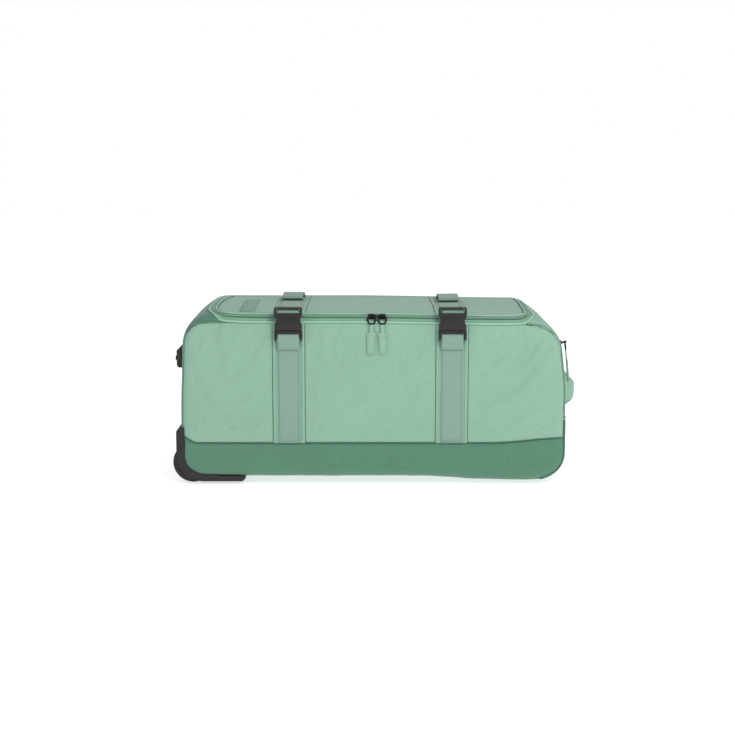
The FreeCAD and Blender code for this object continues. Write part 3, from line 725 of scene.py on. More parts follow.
def loosen(rows, tuck):
    """A panel's settled grid, its named borders (low, high, first, last) pulled in, and its normals."""
    grid = np.array([[tuple(settle(p)) for p in row] for row in rows])
    normal = np.cross(np.gradient(grid, axis=1), np.gradient(grid, axis=0))
    normal /= np.maximum(np.linalg.norm(normal, axis=2, keepdims=True), 1e-12)
    middle = np.array([MID_X, MID_Y, (BASE + TOP) / 2])
    if np.mean(np.sum(normal * (grid - middle), axis=2)) < 0:
        normal = -normal
    if tuck:
        seam = borders(grid, tuck)
        away = np.array([np.sqrt(((row[:, None, :] - seam[None]) ** 2).sum(2).min(1)) for row in grid])
        grid = grid - normal * (1.3 * MM * np.exp(-away / (3.2 * MM)))[:, :, None]
    return grid, normal


def thicken(obj, thickness, offset):
    """Real thickness for a sheet: under its surface at -1, to both sides at 0, over it at 1."""
    shell = obj.modifiers.new("thickness", "SOLIDIFY")
    shell.thickness = thickness
    shell.offset = offset
    return shell


def add_cloth(
    name, rows, look, body, stands_for=(), tuck=("low", "high", "first", "last"), keep=None, thick=CLOTH,
):
    """A sewn panel: a settled grid with its seams pulled in, a lining inside, and some real thickness."""
    grid, normal = loosen(rows, tuck)
    high, wide = grid.shape[:2]
    verts, faces = rows_mesh([[Vector(p) for p in row] for row in grid])
    i, j = high // 2, wide // 2
    across, along = Vector(grid[i, j + 1] - grid[i, j]), Vector(grid[i + 1, j] - grid[i, j])
    if across.cross(along).dot(Vector(normal[i, j])) < 0:
        faces = [face[::-1] for face in faces]
    if keep:
        flat = [p for row in rows for p in row]
        faces = [face for face in faces if any(keep(flat[i]) for i in face)]
    obj = add_piece(name, verts, faces, look, body, stands_for, merge=1e-6)
    obj.data.materials.append(MAT["lining"])
    thicken(obj, thick, -1).material_offset = 1
    return obj


SIM_FRAMES = 18
SIM_OUT, SIM_IN = 2.2 * MM, 5.0 * MM      # the most it may move a point, out of the bag and into it
SIM_SLACK, SIM_PRESSURE = 0.012, 0.9      # the cloth's extra length as a share, and the stuffing's push


def relax(obj, held, outward):
    """Lets a panel's cloth slacken and fill out by simulation, held where it is sewn, and keeps that."""
    trial = bpy.data.objects.new("cloth_trial", obj.data.copy())
    bpy.context.collection.objects.link(trial)
    pins = trial.vertex_groups.new(name="sewn")
    weights = [held(v.co) for v in trial.data.vertices]
    for i, weight in enumerate(weights):
        pins.add([i], weight, "REPLACE")
    cloth = trial.modifiers.new("cloth", "CLOTH")
    cloth.settings.vertex_group_mass = "sewn"
    cloth.settings.quality = 5
    cloth.settings.mass = 0.2
    cloth.settings.tension_stiffness = 25
    cloth.settings.compression_stiffness = 25
    cloth.settings.shear_stiffness = 12
    cloth.settings.bending_stiffness = 0.6
    cloth.settings.shrink_min = -SIM_SLACK
    cloth.settings.use_pressure = True
    cloth.settings.uniform_pressure_force = SIM_PRESSURE
    cloth.collision_settings.use_collision = False
    cloth.settings.effector_weights.gravity = 0.35
    cloth.point_cache.frame_start = 1
    cloth.point_cache.frame_end = SIM_FRAMES
    scene = bpy.context.scene
    for step in range(1, SIM_FRAMES + 1):
        scene.frame_set(step)
    result = trial.evaluated_get(bpy.context.evaluated_depsgraph_get()).to_mesh()
    for v, moved_v, weight in zip(obj.data.vertices, result.vertices, weights):
        shift = moved_v.co - v.co
        out = max(-SIM_IN, min(SIM_OUT, shift.dot(outward)))
        v.co += outward * (out * (1 - weight))
    trial.evaluated_get(bpy.context.evaluated_depsgraph_get()).to_mesh_clear()
    scene.frame_set(1)
    bpy.data.objects.remove(trial)


# ---------------------------------------------------------------- the lid's outline and the zip round it
# the lid's edge and the outer edge of its zip, as (x, distance along the cloth) in mm,
# from the back left round the front
LID_EDGE = [
    (-281, 147.4), (-287, 80), (-290, -20), (-289, -78), (-282, -116), (-271, -134), (-256, -142.5),
    (-120, -142.5), (0, -142.5), (120, -142.5),
    (234, -142.5), (250, -139), (261, -124), (265, -80), (268, 0), (271, 80), (272, 147.4),
]
ZIP_EDGE = [
    (-291, 147.4), (-298, 80), (-302, -20), (-301, -85), (-293, -128), (-282, -149), (-267, -159.2),
    (-120, -159.2), (0, -159.2), (120, -159.2),
    (246, -159.2), (264, -155), (276, -138), (279, -90), (281, 0), (283, 80), (283, 147.4),
]
COIL_SHARE = 0.46                        # where the coil runs, from the lid's edge (0) to the outer edge (1)
ZIP_STEP = 4 * MM


def zip_path(share):
    """The path (x, q) a share of the way from the lid's edge to the zip's outer edge."""
    controls = [
        Vector((a[0], a[1])).lerp(Vector((b[0], b[1])), share) * MM
        for a, b in zip(LID_EDGE, ZIP_EDGE)
    ]
    reference = rounded([Vector(b) * MM for b in ZIP_EDGE])
    path = []
    for i, (a, b) in enumerate(zip(rounded(controls), rounded(controls)[1:])):
        count = max(1, round((reference[i + 1] - reference[i]).length / ZIP_STEP))
        path += [a.lerp(b, k / count) for k in range(count)]
    return path + [rounded(controls)[-1]]


def path_x(path, q, side_sign):
    """Where a zip path crosses a distance q on the left (-1) or right (1)."""
    half = path[:len(path) // 2] if side_sign < 0 else path[:len(path) // 2:-1]
    front = min(p.y for p in half)
    flank = [p for p in half if p.y > front + 0.02 * MM]
    flank.append(half[len(flank)])
    flank.reverse()
    return float(np.interp(q, [p.y for p in flank], [p.x for p in flank]))


def spaced(low, high, step, marks=()):
    """Values from low to high about a step apart, with the marks among them."""
    stops = sorted({low, high} | {m for m in marks if low < m < high})
    values = []
    for a, b in zip(stops, stops[1:]):
        count = max(1, round((b - a) / step))
        values += [a + (b - a) * k / count for k in range(count)]
    return values + [stops[-1]]


# ---------------------------------------------------------------- front and back
def seam_curve(seam, upper):
    """The front's or back's seam, above or below, as x and z arrays."""
    picked = []
    for s, (x, z, nx, nz) in zip(ALONG, OUTLINE):
        corner = (TOP_LEFT if x < MID_X else TOP_RIGHT) if upper else (LOW_LEFT if x < MID_X else LOW_RIGHT)
        if (upper and z >= TOP - corner - 1e-6) or (not upper and z <= BASE + corner + 1e-6):
            picked.append((x + nx * seam(s), z + nz * seam(s)))
    picked.sort()
    return [p[0] for p in picked], [p[1] for p in picked]


def face_columns():
    """The x of each column of the front and back, close together where the corners and bands turn."""
    left, right = LEFT + SIDE_SEAM, RIGHT - SIDE_SEAM
    turn = 46 * MM
    first = [left + turn * (1 - math.cos(math.radians(a))) for a in range(0, 90, 6)]
    last = [right - turn * (1 - math.cos(math.radians(a))) for a in range(0, 90, 6)][::-1]
    marks = [e + d for e in BAND_EDGES for d in (-2 * MM, 0, 2 * MM)]
    return first + spaced(left + turn, right - turn, 4 * MM, marks) + last


def face_rows(surface, seam, part, count, crowd=1.0):
    """A grid of the front or back: part is "panel" above the base seam or "base" below it."""
    upper_x, upper_z = seam_curve(seam, True)
    lower_x, lower_z = seam_curve(seam, False)
    columns = face_columns()
    rows = []
    for i in range(count + 1):
        t = i / count
        t = 0.5 * (1 - math.cos(math.pi * t)) * 0.35 + t * 0.65
        t = 1 - (1 - t) ** crowd
        row = []
        for x in columns:
            split = seam_height(x)
            high = float(np.interp(x, upper_x, upper_z))
            low = float(np.interp(x, lower_x, lower_z))
            a, b = (split, high) if part == "panel" else (low, split)
            row.append(surface(x, a + (b - a) * t))
        rows.append(row)
    return rows


front_cloth = add_cloth(
    "front_cloth", face_rows(front_face, front_seam, "panel", 54), "light", "root", ["front_panel"],
)
front_base = add_cloth(
    "front_base_cloth", face_rows(front_face, front_seam, "base", 22), "dark", "root", ["front_base_band"],
    tuck=("high",),
)
back_cloth = add_cloth(
    "back_cloth", face_rows(back_face, back_seam, "panel", 50, crowd=1.8), "light", "root", ["back_panel"],
    tuck=("low", "first", "last"),
)
back_base = add_cloth(
    "back_base_cloth", face_rows(back_face, back_seam, "base", 20), "dark", "root", ["back_base_band"],
    tuck=("high",),
)


def held_at_front(p):
    """1 where a panel of the front or back is sewn or covered, 0 in the middle of its free stretches."""
    seam = min(abs(p.z - seam_height(p.x)), inside(p.x, p.z) - SIDE_SEAM)
    held = 1 - smooth(2 * MM, 26 * MM, seam)
    for low, high in zip(BAND_EDGES[::2], BAND_EDGES[1::2]):
        beyond = max(low - p.x, p.x - high)
        held = max(held, 1 - smooth(2 * MM, 22 * MM, beyond))
    return held


def held_under_pulls(p):
    """The front's seams and bands, and the cloth behind the two zip pulls."""
    beside = math.hypot((p.x + 4 * MM) / 1.6, p.z - 0.262)
    return max(held_at_front(p), 1 - smooth(26 * MM, 44 * MM, beside))


relax(front_cloth, held_under_pulls, Vector((0, -1, 0)))
relax(front_base, held_at_front, Vector((0, -1, 0)))
relax(back_cloth, held_at_front, Vector((0, 1, 0)))
relax(back_base, held_at_front, Vector((0, 1, 0)))


# ---------------------------------------------------------------- ends and underside
def angle_at(depth, radius):
    return math.acos(max(-1.0, min(1.0, 1 - depth / radius)))


def depth_columns(marks=()):
    """Where each column of an end stands: on the front's turn, on the flat, or on the back's turn."""
    flat = spaced(FRONT + FRONT_TURN, BACK - BACK_TURN, 6 * MM, marks)
    return [("front", k / 8) for k in range(8)] + [("flat", y) for y in flat] + [
        ("back", k / 8)
        for k in range(1, 9)
    ]


def depth_of(column, s):
    """The depth y of a column at a distance along the outline."""
    where, value = column
    if where == "flat":
        return value
    if where == "front":
        turn = angle_at(front_seam(s), FRONT_TURN) * (1 - value)
        return FRONT + FRONT_TURN * (1 - math.sin(turn))
    turn = angle_at(back_seam(s), BACK_TURN) * value
    return BACK - BACK_TURN * (1 - math.sin(turn))


def cloth_distance(y):
    """The distance q along the top's cloth at a depth y."""
    edge = FRONT + FRONT_TURN
    if y >= edge:
        return y
    return edge - FRONT_TURN * math.asin(min(1.0, (edge - y) / FRONT_TURN))


TOP_X = [(x, s) for s, (x, z, nx, nz) in zip(ALONG, OUTLINE) if z > TOP - 40 * MM]


def top_station(x):
    return float(np.interp(x, [p[0] for p in TOP_X], [p[1] for p in TOP_X]))


def end_rows(stations, columns, limit=None):
    """A grid of the gusset. limit gives, for a distance q, the station where the last row ends."""
    rows = []
    for s_plain in stations:
        row = []
        for column in columns:
            s = s_plain
            if limit:
                last = limit(cloth_distance(depth_of(column, stations[-1])))
                s = stations[0] + (s_plain - stations[0]) * (last - stations[0]) / (
                    stations[-1] - stations[0]
                )
            row.append(side(s % ALONG[-1], depth_of(column, s % ALONG[-1])))
        rows.append(row)
    return rows


HOUSINGS = [(housing_low, housing_high), (housing_back_low, housing_back_high)]
HOUSING_WALL = 2.5 * MM


def clear_of_housings(p):
    """False where the cloth is cut away under a wheel housing."""
    for low, high in HOUSINGS:
        beside = low.y + HOUSING_WALL - 1e-5 < p.y < high.y - HOUSING_WALL + 1e-5
        if beside and p.x < -284 * MM and p.z < 78 * MM:
            return False
    return True


def clear_of_cup(p):
    """False inside the opening that the handle's cup fills."""
    return not (
        p.x > 290 * MM
        and cup_low.y - 1e-5 < p.y < cup_high.y + 1e-5
        and cup_low.z - 1e-5 < p.z < cup_high.z + 1e-5
    )


housing_marks = [y for low, high in HOUSINGS for y in (low.y + HOUSING_WALL, high.y - HOUSING_WALL)]
zip_edge = zip_path(1.0)
# the wheel end is cut from the dark cloth: partly its own darker fabric, partly painted shade on that end
add_cloth(
    "wheel_end_cloth",
    end_rows(
        spaced(S_LOW_LEFT, S_TOP_LEFT, 5 * MM),
        depth_columns(housing_marks),
        lambda q: top_station(path_x(zip_edge, q, -1)),
    ),
    "dark", "root", ["wheel_end_panel"], tuck=("high", "first", "last"), keep=clear_of_housings,
)
add_cloth(
    "handle_end_cloth",
    end_rows(
        spaced(S_TOP_RIGHT, S_END_SEAM, 5 * MM)[::-1],
        depth_columns(),
        lambda q: top_station(path_x(zip_edge, q, 1)),
    ),
    "light", "root", ["handle_end_panel"],
)


def end_station_at(z):
    """The station on the handle end's outline at a height."""
    part = [(h, s) for s, (x, h, nx, nz) in zip(ALONG, OUTLINE) if x > RIGHT - LOW_RIGHT and h < 0.2]
    part.sort()
    return float(np.interp(z, [p[0] for p in part], [p[1] for p in part]))


CUP_STATIONS = (end_station_at(cup_high.z), end_station_at(cup_low.z))
add_cloth(
    "handle_end_base_cloth",
    end_rows(spaced(S_END_SEAM, S_LOW_RIGHT, 4 * MM, CUP_STATIONS), depth_columns((cup_low.y, cup_high.y))),
    "dark", "root", ["handle_end_base"], tuck=("low", "first", "last"), keep=clear_of_cup,
)
add_cloth(
    "bottom_cloth",
    end_rows(
        spaced(S_LOW_RIGHT - ALONG[-1], S_LOW_LEFT, 8 * MM, [S_LOW_LEFT - 15 * MM]),
        depth_columns(housing_marks),
    ),
    "dark", "root", ["bottom_panel"], tuck=(), keep=clear_of_housings,
)


# ---------------------------------------------------------------- lid
lid_edge = zip_path(0.0)
LID_FRONT_Q = -142.5 * MM
lid_rows = []
lid_shares = spaced(0, 1, 1 / 110)
for q in spaced(
    LID_FRONT_Q, LID_BACK, 5 * MM, [LID_FRONT_Q + 3 * MM, LID_FRONT_Q + 6 * MM, -134 * MM, -128 * MM],
):
    x0, x1 = path_x(lid_edge, q, -1), path_x(lid_edge, q, 1)
    lid_rows.append([on_top(x0 + (x1 - x0) * u, q) for u in lid_shares])
add_cloth("lid_cloth", lid_rows, "light", "lid", ["lid_panel"], tuck=("low", "first", "last"))


# ---------------------------------------------------------------- zip tapes, coil and piping
TAPE_COLUMNS = 5
TAPE_LIFT = 0.3 * MM


def tape_rows(share_a, share_b):
    """A grid of zip tape between two shares of the way from the lid's edge to the outer edge."""
    shares = [share_a + (share_b - share_a) * k / TAPE_COLUMNS for k in range(TAPE_COLUMNS + 1)]
    return [[on_top(p.x, p.y, TAPE_LIFT) for p in zip_path(share)] for share in shares]


def on_settled(path, lift):
    return [settle(on_top(p.x, p.y, lift)) for p in path]


add_cloth(
    "body_tape_cloth", tape_rows(COIL_SHARE + 0.09, 1.0), "tape", "root", ["body_zip_tape"], tuck=("high",),
    thick=1.0 * MM,
)
add_cloth(
    "lid_tape_cloth", tape_rows(0.0, COIL_SHARE - 0.09), "tape", "lid", ["lid_zip_tape"], tuck=("low",),
    thick=1.0 * MM,
)


def coil(name, share, phase, body):
    """One side of the coil zip: small bent teeth along the path, leaning in towards the other side."""
    path = evenly(on_settled(zip_path(share), 0.9 * MM), 2.4 * MM)
    inner = evenly(on_settled(zip_path(COIL_SHARE), 0.9 * MM), 2.4 * MM)
    parts = []
    count = min(len(path), len(inner))
    for i in range(1, count - 1):
        j = round(i * (len(inner) - 1) / (len(path) - 1))
        p = path[i].lerp(path[i + 1], phase)
        tangent = (path[i + 1] - path[i - 1]).normalized()
        towards = inner[j] - p
        towards = (towards - tangent * towards.dot(tangent)).normalized()
        up = tangent.cross(towards)
        if up.z < 0:
            up = -up
        loop = [
            p - towards * 0.6 * MM + up * 0.1 * MM, p + up * 0.7 * MM, p + towards * 1.5 * MM + up * 0.8 * MM,
            p + towards * 2.5 * MM + up * 0.2 * MM,
        ]
        parts.append(tube_rows(loop, 0.55 * MM, sides=5))
    verts, faces = joined(parts)
    return add_piece(name, verts, faces, "coil", body)


coil("zip_coil_body", COIL_SHARE + 0.10, 0.0, "root")
coil("zip_coil_lid", COIL_SHARE - 0.10, 0.5, "lid")


def add_cord(name, points, radius, look, body):
    """A round cord of piping along a path."""
    add_piece(name, *tube_rows(points, radius), look, body)


add_cord("lid_piping", on_settled(lid_edge, 0.9 * MM), 1.7 * MM, "piping", "lid")
add_cord("zip_piping", on_settled(zip_edge, 0.7 * MM), 1.8 * MM, "piping", "root")

# the front's seam, from the base band up over the top and down again, and the back's, each with a cord darker
# than the cloth along it: painted shade of the seam's groove
seam_start = station(lambda x, z: x < LEFT + MM and z > BASE_SEAM + 12 * MM)
front_seam_line = spaced(seam_start, end_station_at(BASE_SEAM + 9 * MM), 5 * MM)
front_seam_path = [settle(side(s, depth_of(("front", 0), s), 0.2 * MM)) for s in front_seam_line]
add_cord("front_seam_shade_cord", front_seam_path, 1.2 * MM, "thread", "root")
back_seam_path = [settle(side(s, depth_of(("back", 1), s), 0.2 * MM)) for s in front_seam_line]
add_cord("back_seam_shade_cord", back_seam_path, 1.3 * MM, "thread", "root")
end_piping_line = spaced(S_END_SEAM, S_LOW_RIGHT, 4 * MM)
for name, column in (("end_piping_front", ("front", 0)), ("end_piping_back", ("back", 1))):
    add_cord(
        name, [settle(side(s, depth_of(column, s), 0.9 * MM)) for s in end_piping_line], 2.0 * MM,
        "dark_piping", "root",
    )
seam_shares = spaced(LEFT + SIDE_SEAM, RIGHT - SIDE_SEAM, 5 * MM)
add_cord(
    "front_base_seam", [settle(front_face(x, seam_height(x), 0.0)) for x in seam_shares], 0.9 * MM,
    "dark_piping", "root",
)
add_cord(
    "back_base_seam", [settle(back_face(x, seam_height(x), 0.0)) for x in seam_shares], 0.9 * MM,
    "dark_piping", "root",
)
end_seam_points = [settle(side(S_END_SEAM, depth_of(c, S_END_SEAM), 0.2 * MM)) for c in depth_columns()]
add_cord("end_base_seam", end_seam_points, 1.2 * MM, "dark_piping", "root")


# ---------------------------------------------------------------- bands, webbing and buckles
WEB_HALF = 19 * MM
# across a band: (offset, lift) in mm over half its width, from the middle out; the raised part is its binding
BAND_PROFILE = [
    (0, 1.3), (10, 1.3), (19.5, 1.3), (20.6, 1.1), (21.2, 1.5), (22.2, 2.1), (24.5, 2.4), (26.6, 2.1),
    (27.4, 1.2), (27.5, -0.4),
]
WEB_PROFILE = [(0, 3.0), (6, 3.0), (12, 3.0), (16.5, 2.95), (18.4, 2.7), (19.0, 2.1), (18.6, 1.2)]


def mirrored(profile):
    """A half profile from the middle out, as a whole one from left to right."""
    whole = [(-a, b) for a, b in profile[:0:-1]] + list(profile)
    return [(a * MM, b * MM) for a, b in whole]


def laid(surface, centre, stations, profile):
    """A strip that lies on the settled bag: surface(x, station, lift) is the clean shell under it."""
    rows = []
    for t in stations:
        row = [settle(surface(centre + a, t, lift)) for a, lift in profile]
        row += [settle(surface(centre + a, t, -0.5 * MM)) for a, lift in profile[::-1]]
        rows.append(row)
    return capped_rows(rows)


def front_up(_point):
    return Vector((0, -1, 0))


def top_up(_point):
    return Vector((0, 0, 1))


def yz_strap(centre, path, half_width, thickness):
    """Webbing that runs in a plane of constant x, along (y, z) points in mm."""
    points = evenly(rounded([Vector((centre, y * MM, z * MM)) for y, z in path], 3), 2.5 * MM)
    stations = []
    for i, p in enumerate(points):
        a, b = points[max(0, i - 1)], points[min(len(points) - 1, i + 1)]
        along = (b - a).normalized()
        across = Vector((1, 0, 0))
        stations.append((p, across, along.cross(across).normalized()))
    return strap_rows(stations, half_width, thickness)


def face_depth(x, z):
    """The settled front's y at a height, in mm."""
    return settle(front_face(x, z)).y / MM


# heights in mm where the lower webbing leaves the band, and where the buckle's bar is
LOOP_FOOT = 243
BAR_HEIGHT = 264.5
for place in ("left", "right"):
    low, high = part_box(f"front_band_{place}")
    middle = (low.x + high.x) / 2
    foot = seam_height(middle) + 0.4 * MM
    face_stations = spaced(foot, high.z + 1 * MM, 4 * MM)
    verts, faces = laid(front_face, middle, face_stations, mirrored(BAND_PROFILE))
    add_piece(f"front_band_cloth_{place}", verts, faces, "light", "root", [f"front_band_{place}"])

    sewn = laid(front_face, middle, spaced(foot + 0.5 * MM, 246 * MM, 4 * MM), mirrored(WEB_PROFILE))
    face = face_depth(middle, LOOP_FOOT * MM)
    loop = yz_strap(middle, [
        (face - 2.0, LOOP_FOOT - 4), (face - 2.6, LOOP_FOOT + 4), (-159.6, 256), (-160.2, BAR_HEIGHT - 2),
        (-160.8, BAR_HEIGHT + 3), (-163.4, BAR_HEIGHT + 4.6), (-166.6, BAR_HEIGHT + 2.2),
        (-167.0, BAR_HEIGHT - 5),
        (-165.4, LOOP_FOOT + 9), (-162.2, LOOP_FOOT + 2.5), (face - 4.6, LOOP_FOOT - 1.5),
        (face - 4.2, LOOP_FOOT - 3.5),
    ], WEB_HALF - 0.4 * MM, 1.5 * MM)
    verts, faces = joined([sewn, loop])
    add_piece(f"lower_webbing_strap_{place}", verts, faces, "web", "root", [f"lower_webbing_{place}"])

    lid_stations = spaced(-141.5 * MM, 141 * MM, 4 * MM, [-138 * MM])
    verts, faces = laid(on_top, middle, lid_stations, mirrored(BAND_PROFILE))
    add_piece(f"lid_band_cloth_{place}", verts, faces, "light", "lid", [f"lid_band_{place}"])

    def crest(y, lift):
        """The settled lid's height in mm over the band's middle, and a lift."""
        return settle(on_top(middle, y * MM)).z / MM + lift

    lean = math.radians(7) if place == "right" else math.radians(-1.5)
    strap = yz_strap(middle, [
        (139, crest(139, 2.2)), (125, crest(125, 2.4)), (104, crest(104, 2.6)), (96, crest(96, 4.5)),
        (84, crest(84, 11.5)),
        (66, crest(66, 14.2)), (50, crest(50, 13.8)), (35, crest(35, 13.2)), (24, crest(24, 12.4)),
        (16, crest(16, 10.4)),
        (15, crest(15, 7.6)), (21, crest(21, 5.4)), (29, crest(29, 4.8)), (31, crest(31, 3.2)),
        (24, crest(24, 2.3)), (12, crest(12, 2.4)),
        (-30, crest(-30, 2.4)), (-80, crest(-80, 2.4)), (-118, crest(-118, 2.5)), (-134, crest(-134, 3.2)),
        (-146, 307.6), (-156, 310.6), (-162.0, 310.0), (-165.4, 307.2), (-165.8, 303.5), (-163.8, 300.5),
    ], WEB_HALF, 1.6 * MM)
    for i, v in enumerate(strap[0]):
        share = smooth(-90 * MM, 20 * MM, v.y) * (1 - smooth(100 * MM, 139 * MM, v.y))
        v.y += (v.x - middle) * math.sin(lean) * share
        v.x += share * (3 * MM if place == "right" else -1 * MM)
    add_piece(f"upper_webbing_strap_{place}", *strap, "web", "lid", [f"upper_webbing_{place}"])

    for side_sign in (-1, 1):
        edge = middle + side_sign * 22.4 * MM
        line = [settle(front_face(edge, z, 2.25 * MM)) for z in face_stations]
        verts, faces = stitches(line, front_up, 3.2 * MM, 2.0 * MM)
        add_piece(f"front_band_stitches_{place}_{'ab'[side_sign > 0]}", verts, faces, "thread", "root")
        # a dark cord just outside the band's edge, on the front and on the lid: painted shade of the groove
        # beside the raised band
        rim = middle + side_sign * 27.9 * MM
        seam = [settle(front_face(rim, z, 0.3 * MM)) for z in face_stations]
        add_cord(f"front_band_seam_{place}_{'ab'[side_sign > 0]}", seam, 0.8 * MM, "dark_piping", "root")
        seam = [settle(on_top(rim, q, 0.3 * MM)) for q in lid_stations]
        add_cord(f"lid_band_edge_shade_{place}_{'ab'[side_sign > 0]}", seam, 0.8 * MM, "dark_piping", "lid")
        line = [settle(on_top(edge, q, 2.25 * MM)) for q in lid_stations[1:-1]]
        verts, faces = stitches(line, top_up, 3.2 * MM, 2.0 * MM)
        add_piece(f"lid_band_stitches_{place}_{'ab'[side_sign > 0]}", verts, faces, "thread", "lid")
        line = [
            settle(front_face(middle + side_sign * 16.6 * MM, z, 3.05 * MM))
            for z in spaced(foot + 2 * MM, 239 * MM, 4 * MM)
        ]
        verts, faces = stitches(line, front_up, 3.0 * MM, 1.9 * MM, 0.3 * MM)
        add_piece(f"webbing_stitches_{place}_{'ab'[side_sign > 0]}", verts, faces, "thread", "root")
    parts = []
    for z in (LOOP_FOOT + 0.5, LOOP_FOOT - 3):
        line = [Vector((middle + a * MM, (face - 5.4) * MM, z * MM)) for a in range(-16, 17, 4)]
        parts.append(stitches(line, front_up, 3.0 * MM, 2.0 * MM, 0.4 * MM))
    for z in (foot + 3 * MM, foot + 6 * MM):
        line = [settle(front_face(middle + a * MM, z, 3.05 * MM)) for a in range(-15, 16, 3)]
        parts.append(stitches(line, front_up, 3.0 * MM, 2.0 * MM, 0.35 * MM))
    add_piece(f"webbing_tack_{place}", *joined(parts), "thread", "root")


def mirror_outline(half):
    """A whole outline from its right half, given from top to bottom, in mm."""
    return [(x * MM, z * MM) for x, z in half] + [(-x * MM, z * MM) for x, z in half[::-1]]


def moved(outline, dx):
    return [(x + dx, z) for x, z in outline]


def box_outline(x0, x1, z0, z1):
    return [(x0 * MM, z1 * MM), (x1 * MM, z1 * MM), (x1 * MM, z0 * MM), (x0 * MM, z0 * MM)]


FEMALE_HALF = [
    (21.8, 314.4), (23.8, 312.6), (24.0, 304), (23.6, 298.2), (22.4, 296.2), (20.4, 294.2), (19.7, 290.6),
    (20.2, 287.2),
    (22.2, 285.2), (23.3, 282.6), (23.4, 276.4), (22.6, 274.8),
]
SLOT_WINDOW = box_outline(-20.2, 20.2, 304.4, 312.3)


def female_parts(x):
    """The buckle's socket: two moulded faces with release notches, joined by its top and lower cheeks."""
    face = moved(mirror_outline(FEMALE_HALF), x)
    window = moved(SLOT_WINDOW, x)
    front_plate = poly_prism(face, -169.3 * MM, -166.6 * MM, 0.8 * MM, [window])
    back_plate = poly_prism(face, -160.4 * MM, -158.2 * MM, 0.6 * MM, [window])
    roof = poly_prism(moved(box_outline(-22.8, 22.8, 297.5, 304.0), x), -167.5 * MM, -159.5 * MM, 0.6 * MM)
    bar = poly_prism(moved(box_outline(-22.8, 22.8, 312.5, 314.1), x), -167.5 * MM, -159.5 * MM, 0.6 * MM)
    posts = [
        poly_prism(moved(box_outline(a, a + 3.2, 303, 313), x), -167.5 * MM, -159.5 * MM, 0.5 * MM)
        for a in (-23.4, 20.2)
    ]
    cheeks = [
        poly_prism(moved(box_outline(a, a + 2.4, 275.6, 284.6), x), -167.5 * MM, -159.5 * MM, 0.4 * MM)
        for a in (-22.9, 20.5)
    ]
    pad = poly_prism(
        moved(mirror_outline([(13, 299.5), (15, 297.5), (15, 281), (13.4, 279)]), x), -169.9 * MM,
        -169.0 * MM, 0.35 * MM,
    )
    ribs = [
        poly_prism(moved(box_outline(-11, 11, z, z + 0.9), x), -170.2 * MM, -169.6 * MM, 0.25 * MM)
        for z in (283, 285.4, 287.8)
    ]
    return joined([front_plate, back_plate, roof, bar, pad] + posts + cheeks + ribs)


def male_parts(x):
    """The buckle's plug: a frame whose bar holds the webbing, and two side prongs with a guide between."""
    frame_outline = mirror_outline(
        [
            (22.6, 273.9), (24.0, 272.6), (24.0, 258.2), (22.8, 257.1), (20.6, 257.1), (20.3, 258.2),
            (20.3, 268.9),
        ]
    )
    frame_plate = poly_prism(moved(frame_outline, x), -168.2 * MM, -158.8 * MM, 1.0 * MM)
    bar = poly_prism(
        moved(box_outline(-21.5, 21.5, BAR_HEIGHT - 2.4, BAR_HEIGHT + 2.4), x), -165.0 * MM, -161.8 * MM,
        0.9 * MM,
    )
    prongs = []
    for sign in (-1, 1):
        arm = [
            (12.5, 272), (16, 272), (20.4, 283), (20.9, 287), (20.5, 292.5), (18.8, 296.6), (17.2, 296.8),
            (17.6, 291), (17.2, 284),
        ]
        outline = [(x + sign * a * MM, z * MM) for a, z in arm]
        prongs.append(poly_prism(outline, -166.0 * MM, -161.0 * MM, 0.6 * MM))
    guide = poly_prism(
        moved(mirror_outline([(2.4, 296.5), (3.2, 295), (3.2, 272)]), x), -165.5 * MM, -161.5 * MM, 0.5 * MM,
    )
    return joined([frame_plate, bar, guide] + prongs)


for place in ("left", "right"):
    low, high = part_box(f"male_buckle_{place}")
    middle = (low.x + high.x) / 2
    female = add_piece(
        f"buckle_socket_{place}", *female_parts(middle), "gloss", "lid", [f"female_buckle_{place}"],
    )
    male = add_piece(f"buckle_plug_{place}", *male_parts(middle), "gloss", "root", [f"male_buckle_{place}"])
    smooth_by_angle(female, 40)
    smooth_by_angle(male, 40)


# ---------------------------------------------------------------- sliders, rings and tabs
def turned_slab(origin, along, up, outline, low, high, bevel):
    """A bevelled plate: its outline lies across up, and it runs from low to high along up, in mm."""
    verts, faces = poly_prism([(a * MM, b * MM) for a, b in outline], low * MM, high * MM, bevel * MM)
    cross = up.cross(along)
    return [origin + along * v.x + up * v.y + cross * v.z for v in verts], faces


RING_STEPS = 28


def ring_path(centre, wide, tall, half_wide, half_tall):
    """An oval path, a little narrower at its top, where wide and tall are directions."""
    points = []
    for k in range(RING_STEPS):
        a = 2 * math.pi * k / RING_STEPS
        pinch = 1 - 0.22 * max(0.0, math.sin(a)) ** 2
        points.append(centre + wide * (half_wide * pinch * math.cos(a)) + tall * (half_tall * math.sin(a)))
    return points


